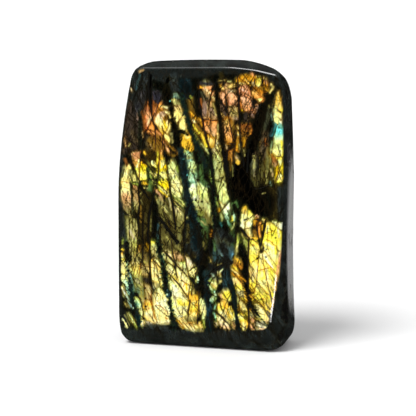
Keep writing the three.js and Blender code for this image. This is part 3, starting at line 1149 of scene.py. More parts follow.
# %% Marks of the lower left
lower_left = [
    # The ground
    ("soft body", 2, 120, 240, 120, 330),
    ("soft body", 2, 126, 243, 127, 258),
    ("soft moss", 2.8, 165, 242, 168, 247, 176, 248),
    ("soft body>umber", 2.5, 189, 246, 194, 256),
    ("soft pitch", 3.3, 203, 262, 200, 288),
    ("soft body", 3.5, 122, 312, 126, 328, 132, 334),
    # The left column: chips of yellow
    ("leaf", 0.8, 122.3, 240, 122.3, 243.7),
    ("yellow>gold", 0.9, 122, 249, 123, 250),
    ("honey>cream", 0.8, 122, 253, 122.7, 256.5),
    ("yellow>cream>lemon>pear", 0, 122, 259, 125, 258, 125, 270, 124, 274, 121, 273),
    ("cream>lime>mint", 0, 122, 275, 125, 275, 126, 280, 127, 284, 124, 283, 121, 280),
    ("pear>lichen", 1.1, 122, 287, 131, 306),
    ("white", 0.4, 121.8, 287.7, 125.5, 294),
    ("khaki", 0.3, 125, 303, 127.5, 306.5),
    ("pear>leaf", 0.8, 128.3, 313.7, 136.5, 326.5),
    ("lime", 0.5, 131, 317.5, 133.5, 322.5),
    ("pear>lemon>pear", 0.8, 122.5, 319, 127.7, 328),
    ("olive", 0.6, 124.3, 314.5, 129.5, 325),
    # Left of the seam at x 150
    ("pear>khaki>khaki", 0, 129, 240, 137, 240, 137, 253, 133, 255, 130, 250),
    ("amber>tan", 1.1, 139, 246, 140, 252),
    ("khaki>beige>straw>khaki", 0, 136, 254, 141, 253, 141, 260, 141, 266, 138, 277, 134, 277, 132, 263),
    ("straw", 1.3, 136, 266, 136, 274),
    ("khaki>pear", 0.9, 129, 263, 130, 268, 133, 272),
    ("lime", 0.6, 131.5, 272.3, 134, 276.5),
    ("mist>lichen", 0.9, 128, 270, 130, 274, 134, 290),
    ("sage>khaki>lichen>khaki>beige", 0, 134, 279, 138, 278, 140, 282, 143, 282, 144, 304, 142, 302,
     140, 297, 136, 290),
    ("beige", 1.1, 136, 280, 142, 285),
    ("khaki", 1.2, 141, 287, 142, 299),
    ("honey", 0.7, 147, 244, 148, 250),
    ("khaki>tan>beige>tan", 0, 142, 262, 145, 261, 148, 264, 149, 270, 149, 275, 144, 276, 142, 275,
     141, 268),
    ("tan>beige>tan", 0, 145, 284, 148, 285, 151, 289, 151, 299, 147, 298, 145, 291),
    ("tan>gold", 0.6, 144, 301, 144, 308),
    ("straw>gold>khaki", 0, 146, 300, 150, 302, 152, 305, 152, 309, 148, 308, 146, 305),
    # The gold column right of the seam
    ("yellow>pear>khaki>olive", 0, 151, 241, 154, 241, 158, 252, 158, 256, 154, 257, 151, 257),
    ("pear>lemon", 0, 154, 259, 159, 260, 160, 266, 158, 266),
    ("yellow>straw>gold", 0.5, 151.3, 259, 151.5, 263),
    ("khaki>straw>lemon>lemon", 0, 151, 262, 154, 262, 158, 267, 161, 269, 159, 274, 152, 274, 150, 268),
    ("lemon>straw>pear>lemon", 0, 152, 274, 160, 274, 161, 276, 159, 281, 152, 280),
    ("lemon", 0.9, 160, 281, 164, 283, 162, 285),
    # The cream floor
    ("pear>lemon>cream>cream>lemon>cream", 0, 158, 288, 160, 287, 168, 300, 166, 301, 166, 303, 170, 309,
     171, 317, 170, 322, 158, 323, 154, 306, 155, 295),
    ("pear", 0.6, 156.5, 293, 156.3, 298),
    ("bronze", 0.8, 165.7, 317.3, 167.3, 319),
    ("lemon>cream>straw>khaki", 0, 146, 310, 152, 309, 155, 320, 153, 322, 148, 320, 145, 316),
    ("soft beige>sage", 0, 146, 321, 151, 322, 156, 328, 152, 330, 146, 329),
    ("straw>tan", 0.8, 153.5, 321.3, 158.5, 324.5),
    ("soft beige>khaki>sage", 1.6, 158, 323, 164, 325, 168, 323),
    # Between the two left bands
    ("pear>sea>pear>lime", 0, 134, 297, 138, 299, 141, 303, 143, 313, 142, 317, 136, 303),
    ("lime", 0.5, 136, 298.7, 140, 304, 142, 311.5),
    ("pear>beige>khaki", 0, 142, 320, 144, 320, 144, 326, 143, 327, 141, 323),
    ("cream", 0.3, 143.5, 321, 143.6, 325.5),
    # The lime and cream panes right of the centre band
    ("khaki>beige", 0, 164, 250, 168, 249, 170, 252, 172, 259),
    ("olive>tan>tan>bronze", 0, 174, 249, 176, 250, 183, 257, 184, 262, 179, 262, 174, 258),
    ("olive", 0.9, 176, 246, 180, 250),
    ("khaki>pear", 0, 162, 253, 164, 252, 173, 263, 173, 266, 163, 257),
    ("leaf>lime>pear", 0, 180, 262, 185, 262, 186, 267, 184, 268, 181, 265),
    ("pear>cream>yellow", 0, 166, 265, 169, 265, 174, 270, 175, 275, 176, 280, 172, 276, 168, 271),
    ("pear>lemon>cream>lemon", 0, 176, 268, 178, 269, 187, 278, 190, 283, 190, 291, 187, 294, 178, 280),
    ("white", 0.8, 179, 273, 184.3, 280.3),
    ("saffron", 0.9, 186, 284, 187, 290),
    ("lime>cream", 0, 170, 275, 178, 284, 176, 284, 172, 279),
    ("pear>lime>cream>cream>yellow>cream>lemon", 0, 169, 279, 172, 281, 188, 299, 188, 306, 187, 313,
     184, 316, 178, 315, 175, 316, 172, 296, 170, 287),
    ("white", 1.1, 173, 285, 177, 290),
    ("cream", 1.5, 174, 297, 176, 305),
    ("lime", 0.6, 172.5, 298, 173.3, 308),
    # Right of them
    ("khaki>beige>pear", 0, 185, 254, 194, 265, 189, 271, 187, 266),
    ("lime>lemon>pear", 0, 189, 272, 193, 269, 196, 268, 196, 273, 194, 277, 191, 276),
    ("sea>mint>sea", 0.6, 197.3, 277, 198.3, 280, 197.7, 282.3),
    ("lime", 0.4, 197.3, 278.3, 197.3, 280.7),
    ("lime", 0.3, 191.3, 285, 190.7, 290),
    ("brown>khaki", 0.6, 194, 288.7, 193.3, 293),
    ("bronze>gold>pear>yellow>gold>lemon", 0, 193, 295, 196, 295, 198, 299, 197, 316, 190, 316, 190, 308,
     192, 302),
    ("bronze", 0.4, 193, 300, 192, 306, 191, 314),
    ("brown", 0.4, 195.5, 303, 195, 312),
    ("bronze", 0.3, 198.7, 291, 198.9, 295.5),
    # The stripes of the foot
    ("soft khaki>olive>bronze", 0, 184, 316, 191, 316, 197, 317, 197, 324, 186, 321),
    ("straw>cream>straw", 0.5, 178.3, 319.7, 183, 318.3, 185.7, 323.3),
    ("gold", 0.5, 177.7, 320.7, 181.5, 324, 183.3, 327),
    ("cream", 0.4, 181, 320, 187.5, 328.3),
    ("white", 0.9, 191, 328, 194, 330),
    ("lemon", 0.6, 194.3, 325.5, 197.7, 327.3),
    ("straw>khaki", 0.8, 199.3, 323.5, 201.7, 327.7, 201.5, 331),
]
lay_marks(lower_left)

# %% [markdown]
# The marks of the lower right, with the largest and brightest panes of all, yellow and
# cream, cut by slanted cracks.

# %% Marks of the lower right
lower_right = [
    # The ground
    ("soft pitch", 3, 205, 262, 206, 282, 204, 292),
    ("soft body", 3.7, 223, 246, 226, 262, 216, 270),
    ("soft pitch", 2.2, 240, 246, 244, 256, 246, 272, 246, 290),
    ("soft dusk>navy>dusk>navy", 2.9, 206, 272, 208, 300, 209, 334),
    ("soft dusk", 3.4, 224, 272, 226, 283),
    ("soft abyss", 2.1, 232, 280, 234, 298, 236, 312, 238, 328),
    # Dull green and slate at the top
    ("olive", 0.8, 203.5, 242, 204.5, 248),
    ("soft pine>green", 1.1, 214, 240, 215, 250),
    ("soft slate>mist", 1.1, 218, 249, 221, 255),
    ("leaf>khaki>olive", 0.9, 238, 240, 236, 255),
    ("khaki", 0.4, 210, 257.5, 211, 261.5),
    ("olive", 0.7, 217, 265, 222, 264),
    ("pear>khaki", 0.6, 222.3, 269.3, 220, 272, 221, 276.5),
    ("khaki", 0.5, 217.5, 270.5, 218.7, 274.5),
    # The khaki leaf
    ("lichen>khaki", 0.7, 212, 274, 214.5, 278, 215.3, 281),
    ("green>pear>lime", 0, 209, 279, 211, 278, 217, 284, 216, 288, 209, 281),
    ("lemon", 0.7, 213, 282.7, 215.3, 286.3),
    ("green>lime>green", 0.8, 209, 285, 212.5, 290.5),
    ("leaf", 0.5, 209, 281, 213, 281),
    ("sea>mint>sea", 0.8, 214, 292, 215.7, 295.3, 214.3, 297),
    ("mint>sea", 0, 210, 298, 212, 297, 214, 299, 213, 302, 210, 301),
    ("sea", 0.6, 215.5, 304, 215, 308.5),
    ("sea>green", 0.6, 214.3, 314, 216.3, 321),
    ("khaki", 0.5, 220, 282, 221.7, 281),
    ("beige", 0.5, 216, 322.5, 216.5, 325.3),
    # The strip of lime at the left
    ("pear>lime>lemon>pear", 0, 200, 297, 203, 300, 205, 306, 206, 311, 205, 316, 201, 314, 200, 306),
    ("lime", 0.7, 203, 313.3, 203.7, 318),
    ("leaf", 0.6, 204, 321, 205, 327),
    ("gold", 0.5, 196.7, 297, 197, 307),
    # The gold fan
    ("khaki>yellow>yellow>pear", 0, 224, 291, 227, 290, 230, 294, 230, 300, 228, 301, 224, 297),
    ("tan>bronze", 0.8, 220.7, 295.5, 222.5, 301.3),
    ("straw>yellow>lemon>cream>khaki", 0, 218, 305, 221, 303, 227, 311, 227, 320, 224, 319, 218, 311),
    ("gold>yellow>pear>khaki", 0, 225, 305, 228, 306, 233, 311, 235, 318, 235, 326, 232, 324),
    ("lemon", 0.7, 228.5, 308.5, 231.7, 314.5),
    ("pear>cream>beige>tan", 0, 217, 315, 219, 316, 228, 325, 229, 329, 223, 328, 219, 323),
    ("tan", 0.6, 233.5, 322.7, 234.5, 328),
    # The brown gold head and the gold blade
    ("olive>bronze>amber>brown", 0, 233, 262, 236, 257, 240, 258, 243, 263, 243, 268, 240, 272, 236, 268,
     233, 267),
    ("pitch", 0.5, 235, 263, 239, 269, 242, 272),
    ("brown", 0.4, 239, 261, 242, 266),
    ("gold", 0.7, 235.7, 258.5, 239.7, 262),
    ("yellow", 0.5, 233.7, 266, 236.5, 269.3),
    ("straw>cream>gold", 0.7, 233.7, 271, 236.5, 272.5, 238.3, 275.3),
    ("honey", 0.4, 240.5, 277, 245.3, 281.5),
    ("honey", 0.4, 232.5, 273.3, 238, 279.3, 241.5, 284.5),
    ("khaki>straw>yellow>cream>lemon", 0, 232, 278, 235, 277, 240, 282, 243, 288, 244, 295, 244, 298,
     240, 297, 237, 292),
    ("yellow", 0.4, 242.3, 298, 244.3, 299),
    ("gold", 0.3, 243.7, 287.5, 246.7, 300.5),
    # Under the blade
    ("khaki>lemon>lemon>yellow>yellow", 0, 238, 299, 240, 300, 244, 304, 246, 309, 248, 316, 246, 319,
     244, 318),
    ("yellow>lemon>yellow>saffron", 0, 237, 314, 241, 314, 244, 317, 245, 320, 244, 323, 240, 320),
    ("gold", 0.5, 237, 306.5, 238.5, 310.3),
    ("gold>lemon>cream>pear", 0, 241, 322, 244, 320, 246, 323, 246, 328, 244, 331),
    ("gold", 0.5, 247.7, 320, 247.7, 325.7),
    # Left of the yellow pane
    ("khaki>leaf>olive", 0.9, 244, 240, 247, 250),
    ("yellow>lemon>yellow>lemon>straw>yellow>gold", 0, 250, 240, 255, 240, 259, 244, 257, 283, 254, 293,
     252, 291, 249, 272),
    ("cream", 1, 254, 273, 253, 281),
    ("white", 0.3, 257.5, 266, 257, 280),
    # The tall yellow pane
    ("yellow>cream>yellow>lemon>yellow>straw", 0, 262, 240, 281, 240, 280, 256, 271, 312, 253, 295,
     256, 293, 260, 254, 264, 253),
    ("cream", 1.5, 266, 243, 274, 248),
    ("white", 0.8, 264, 255, 272.7, 268),
    ("yellow", 1.1, 276, 244, 276, 254),
    ("lemon", 1.1, 261, 262, 262, 276),
    ("cream", 0.9, 266, 268, 268, 280),
    ("yellow", 1.1, 272, 272, 273, 283),
    ("apricot", 0.6, 280.3, 250, 274.7, 289),
    ("peach", 0.6, 273, 300, 271.3, 309),
    # Between the diagonal cracks
    ("gold>lemon>cream>lemon>tan", 0, 253, 300, 260, 306, 269, 319, 267, 323, 263, 319, 255, 308),
    ("yellow", 0.6, 252.7, 299.3, 254.3, 303.5),
    ("gold", 0.5, 250.3, 295.5, 251.7, 298.7),
    ("gold>lemon>cream>apricot>tan", 0, 250, 309, 253, 317, 254, 322, 252, 323, 250, 317),
    ("straw>peach>tan", 0.9, 251, 323, 253, 330),
    ("yellow>cream>white>cream>apricot", 0, 257, 319, 260, 318, 265, 322, 268, 327, 265, 329, 260, 330,
     257, 325),
]
lay_marks(lower_right)

# %% [markdown]
# Each pane is itself a pile of thinner plates. Where one of them ends at the polished face
# it leaves a sliver lighter or darker than the rest, 1 to 3 mm long. There are
# too many to draw one by one, so a seeded loop lays them along the slopes of the cleavage.

# %% Slivers
sliver_random = np.random.default_rng(7)
sliver_number = 1000
sliver_slopes, sliver_turn = (56, 70, 82, 94, 112), 6
sliver_tones = (0.5, 0.65, 1.3, 1.5)
sliver_edge, sliver_taper = 0.35, 0.4
flash_low, flash_high = (120, 74), (284, 330)
shortest_and_thinnest, longest_and_thickest = (2, 0.3), (8, 0.8)
for _ in range(sliver_number):
    x, y = sliver_random.uniform(flash_low, flash_high)
    slope = math.radians(sliver_random.choice(sliver_slopes) + sliver_random.normal(0, sliver_turn))
    reach, half = sliver_random.uniform(shortest_and_thinnest, longest_and_thickest)
    end = (x + reach * math.cos(slope), y + reach * math.sin(slope), half * sliver_taper)
    where, depth, share = mark_place([(x, y, half), end], 2)
    tone = sliver_random.choice(sliver_tones)
    canvas[where] *= 1 + (tone - 1) * smooth(depth / sliver_edge)[:, None]
print(sliver_number, "slivers laid")

# %% [markdown]
# Over the panes run the dark feathered bands, where lamellae 1 to 2 mm wide let no light
# back. They are the most telling thing in the picture: nearly upright, a little curved, navy
# or black green in their core, with a green or teal fringe and feathers on both sides like
# a fern. Each is a line of x, y and half width, roughened by slanted clouds. The bevels at
# the right and the foot then cut the whole picture off with a straight edge. The foot turns
# from plain slate to black at its lower end, and that black is painted shade under the stone.

# %% Feathered bands
band_breadth, band_feather, band_cover, band_edge = 1.2, 1.5, 0.92, 0.8
band_fern = layered(pixel_x, pixel_y, (0.9, 1.1, 1.2, 17, 0), (0.7, 3, 2.4, 8, 4)) + 0.6 * fern


def triples_of(numbers, breadth=1):
    """The stations (x, y, half width) of a line, from x, y, half width, x, y, ..."""
    return [(x, y, half * breadth) for x, y, half in zip(numbers[::3], numbers[1::3], numbers[2::3])]


def lay_band(look, feather, stations):
    widest = max(width for x, y, width in stations)
    where = near([(x, y) for x, y, width in stations], widest + 5)
    ragged = band_feather * feather * band_fern[where]
    reach = line_reach(soft_x[where], soft_y[where], stations) - ragged
    colour = look_at(look, np.clip(-reach / widest, 0, 1))
    cover = band_cover * smooth(-reach / band_edge)[:, None]
    canvas[where] += (colour - canvas[where]) * cover


bands = [
    # Upper part
    ("umber>pitch>black", 1.1, 168, 78, 1.5, 167, 88, 1.8, 168, 98, 2, 170, 104, 2, 171.5, 111, 1.8,
     172.5, 118, 1.8, 174, 125, 2, 175.5, 131, 1.8, 177.5, 137, 2, 178.5, 144, 1.7, 179.5, 150, 1.5),
    ("pine>abyss>abyss", 1.2, 182, 96, 1.5, 183, 103, 1.8, 185, 110, 1.6, 187, 117, 2.2, 189.3, 124, 2.2,
     191, 130, 1.8, 192.5, 136, 1.6, 196, 142, 2.2, 199, 150, 2.5, 202, 156, 2.5, 205, 164, 2.5,
     207, 172, 1.6),
    ("pitch", 0.8, 177, 131, 1.5, 182, 132, 1.8, 186, 134, 1.2),
    ("sage>pitch", 0.8, 139, 110, 1.2, 140, 120, 1.4, 140, 130, 1.3, 140, 140, 1.5, 141, 147, 1.2),
    ("umber>pitch>black", 0.9, 216.5, 91, 1.6, 217, 98, 1.6, 217.7, 105, 1.4, 219, 112, 1.3,
     220, 118, 1.6, 220.7, 126, 1.3, 221.3, 134, 1.3, 222, 142, 1.5, 223.5, 150, 1.6, 225, 158, 1.8,
     226.5, 168, 1.6, 228, 180, 1.4, 230, 195, 1.2),
    ("black", 1, 262, 104, 1, 260, 112, 2, 258, 122, 2.5, 256, 132, 2.5, 254, 142, 3, 250, 154, 3,
     246, 166, 3.5),
    ("pitch", 0.8, 275, 92, 1.2, 272, 97, 1.5, 268, 102, 1.5, 264, 106, 1.5),
    # Middle part
    ("dusk>navy>navy", 1, 181, 150, 2.5, 183, 160, 2.5, 184.5, 170, 2.8, 185.5, 180, 2.5, 187, 190, 2.5,
     189.5, 200, 2.5, 192, 210, 3, 194, 222, 3.5, 196, 235, 4.5, 197, 246, 4.5),
    ("pine>abyss>black", 0.9, 210, 150, 1.3, 211.5, 164, 1.4, 212.5, 178, 1.1, 213, 190, 1.8,
     213.5, 204, 2, 214, 216, 1.8, 214.5, 228, 1.2),
    ("body>black", 0.8, 157.5, 216, 1.4, 162, 222, 1.4, 167.5, 229, 1.4, 173, 236, 1.4, 178, 243, 1.4),
    # Lower part
    ("abyss>pitch>black", 1.4, 126, 244, 1.1, 126.7, 256, 1.3, 126.7, 264, 1.1, 127, 270, 1),
    ("pitch", 0.8, 131.3, 256, 0.5, 129.7, 261, 1, 128, 265, 1),
    ("deep teal>abyss>abyss", 1.3, 127, 275, 1.2, 129, 282, 1.8, 130.7, 290, 1.9, 132.5, 297, 1.7,
     133, 303, 1.4, 135, 309, 1.6, 137.5, 315, 2, 138.5, 321, 1.9, 141, 327, 1.5),
    ("pine>abyss>black", 1.3, 157, 240, 2, 159.5, 250, 2.3, 161.7, 259, 1.8, 163.7, 267, 1.9,
     163.5, 272, 2.2, 165.5, 278, 2.4, 166.5, 286, 2.5, 168.3, 293, 2.4, 169.3, 300, 1.9, 170, 306, 1.9,
     171.5, 311, 2, 172.7, 317, 2.1, 173.7, 323, 2.2, 174.5, 331, 1.8),
    ("abyss", 0.8, 173, 322, 0.8, 177, 324.5, 0.8, 176.5, 327, 0.4),
    ("tarn", 1.2, 168.7, 285, 0.3, 167.3, 292, 0.4, 168, 295.5, 0.4),
    ("body", 0.8, 219.5, 243.5, 0.7, 227, 258, 1.3, 231, 262, 1.5),
    ("pine>abyss>black", 0.8, 251.3, 304, 0.8, 253.7, 309.5, 1, 257, 314.3, 1, 260.3, 317.7, 0.8,
     263.3, 321, 0.5, 267, 325, 0.3),
    ("abyss", 1, 233, 292, 1.6, 235, 302, 1.6, 236.3, 312, 1, 237, 321, 1.2, 238.7, 330, 1.4),
]
for look, feather, *numbers in bands:
    lay_band(look, feather, triples_of(numbers, band_breadth))

right_bevel = stations_of(0, [
    284.5, 215, 300, 215, 300, 352, 272, 352, 262, 331, 267.5, 327, 270.7, 320, 274.3, 303, 277, 285,
    279.7, 265, 282, 242,
])
# The foot bevel is plain slate stone, and it darkens to black towards its lower end as painted shade under
# the stone
foot_bevel_and_shade = stations_of(0, [
    105, 329, 128, 329, 141, 331, 147, 326, 158, 327, 168, 330, 178, 332, 205, 332.5, 235, 332, 250, 331,
    268, 329, 300, 329, 300, 362, 105, 362,
])
# Painted highlight: a pale line where the bright reflection on the rounded crease of the right bevel bends
# along the foot
crease_corner_highlight = triples_of([256, 324, 1.2, 260, 326, 1.8, 264, 327.3, 1])
foot_haze = triples_of([146, 325.5, 1.6, 157, 327, 2.4, 167, 328, 2])
lay_mark("slate>body", 1.2, right_bevel)
lay_mark("slate>body>black", 1.6, foot_bevel_and_shade)
lay_mark("cream>white>beige", 0.7, crease_corner_highlight)
lay_mark("sage>slate", 3.2, foot_haze)
print(len(bands), "bands laid")

# %% [markdown]
# Labradorite flashes only where the surface lies along its twin plates. The front does, and
# the bevels and the top edge are ground across them, so there the picture ends in plain
# dark stone. The left edge is the exception: there the flash goes on round the corner.

# %% Plain bevels
flash_left, flash_right, flash_foot, flash_fade = 125, 262, 312, 4
left_rows, upper_rows, lower_rows = (150, 335), (84, 188), (221, 330)
level_degrees, softness_degrees, spared_degrees = 9, 4, 40


def in_rows(rows):
    return (pixel_y > rows[0]) & (pixel_y < rows[1])


turned = np.degrees(np.arccos(np.clip(normals @ front_normal, -1, 1)))
spared = share_past(flash_left - pixel_x, flash_fade) * in_rows(left_rows)
spared += share_past(pixel_x - flash_right, flash_fade) * (in_rows(upper_rows) | in_rows(lower_rows))
spared += share_past(pixel_y - flash_foot, flash_fade)
plain_share = smooth((turned - level_degrees - spared_degrees * spared) / softness_degrees)
plain_colour = look_at("slate>body", np.clip(0.5 + 0.5 * flecks, 0, 1))
plain_colour *= 1 + layered(pixel_x, pixel_y, (0.3, 7, 6, 3, 0))[:, None]
canvas += (plain_colour - canvas) * plain_share[:, None]
print("share of plain points:", round(plain_share.mean(), 2))

# %% [markdown]
# Small round spots are grains of magnetite and rust between the plates, and tiny panes
# that happened to lie open. Each is half a millimetre wide or less.

# %% Spots
spots = {
    "black": [(173, 152, 1.3), (262.3, 82, 1.2), (247.5, 133, 1.4), (163, 180, 0.9), (134, 217.5, 0.9),
        (202, 201.5, 1.2), (195.5, 200.5, 0.9), (232.5, 223.5, 1), (244.5, 220, 1.1), (246.3, 219.3, 1),
        (266.5, 249.6, 0.9), (266, 257, 1.1), (257, 258.5, 1.2), (145, 288, 1), (145.5, 298.5, 1),
        (145.6, 306.5, 1.1), (144, 318.7, 1.1), (144.6, 327.7, 1), (181.6, 280.6, 0.9),
        (145.5, 253, 0.8), (137, 294.5, 1.6)],
    "brown": [(189, 148, 1.3), (166.4, 315.8, 0.9), (169, 316.7, 0.7), (257.2, 294.6, 1),
        (258.8, 321.6, 1.2), (232.5, 321.6, 0.9), (241.6, 296.6, 0.9), (275.5, 237.8, 1.2)],
    "olive": [(161.4, 310, 0.9), (157.4, 322.6, 0.7)],
    "amber": [(146, 310, 0.8), (148.7, 308.6, 0.8), (152.3, 309.3, 0.8), (166.7, 318.7, 0.8),
        (263.2, 299, 0.9), (266.5, 298.5, 0.7), (253.4, 245, 1), (196.6, 305.5, 0.9)],
    "gold": [(158, 309.5, 0.6), (157.8, 300.8, 0.6), (158.5, 298.5, 0.6), (238.5, 133, 0.9),
        (251, 79, 1), (153, 134, 0.8)],
    "cyan": [(184, 159, 0.8), (170, 101, 0.7), (187.5, 175, 0.8)],
    "mint": [(133, 308, 0.8), (135, 301, 0.7), (167, 294.5, 0.8), (160, 277, 0.7)],
}
spot_edge, spot_cover = 0.5, 0.9
for colour, places in spots.items():
    for x, y, radius in places:
        where = near([(x, y)], radius + 2)
        reach = np.hypot(pixel_x[where] - x, pixel_y[where] - y) - radius
        cover = smooth(-reach / spot_edge)[:, None] * spot_cover
        canvas[where] += (paint[colour] - canvas[where]) * cover
print("kinds of spots:", len(spots))

# %% [markdown]
# Healed cracks cut all of it, black and only 0.2 to 0.5 mm wide. Painted on points that
# are 0.35 mm apart they would blur. So each point stores its distance to the nearest crack
# instead, in millimetres. The material turns that distance into a line with a crisp edge.
# A second set of lines is amber, for the stained seams.

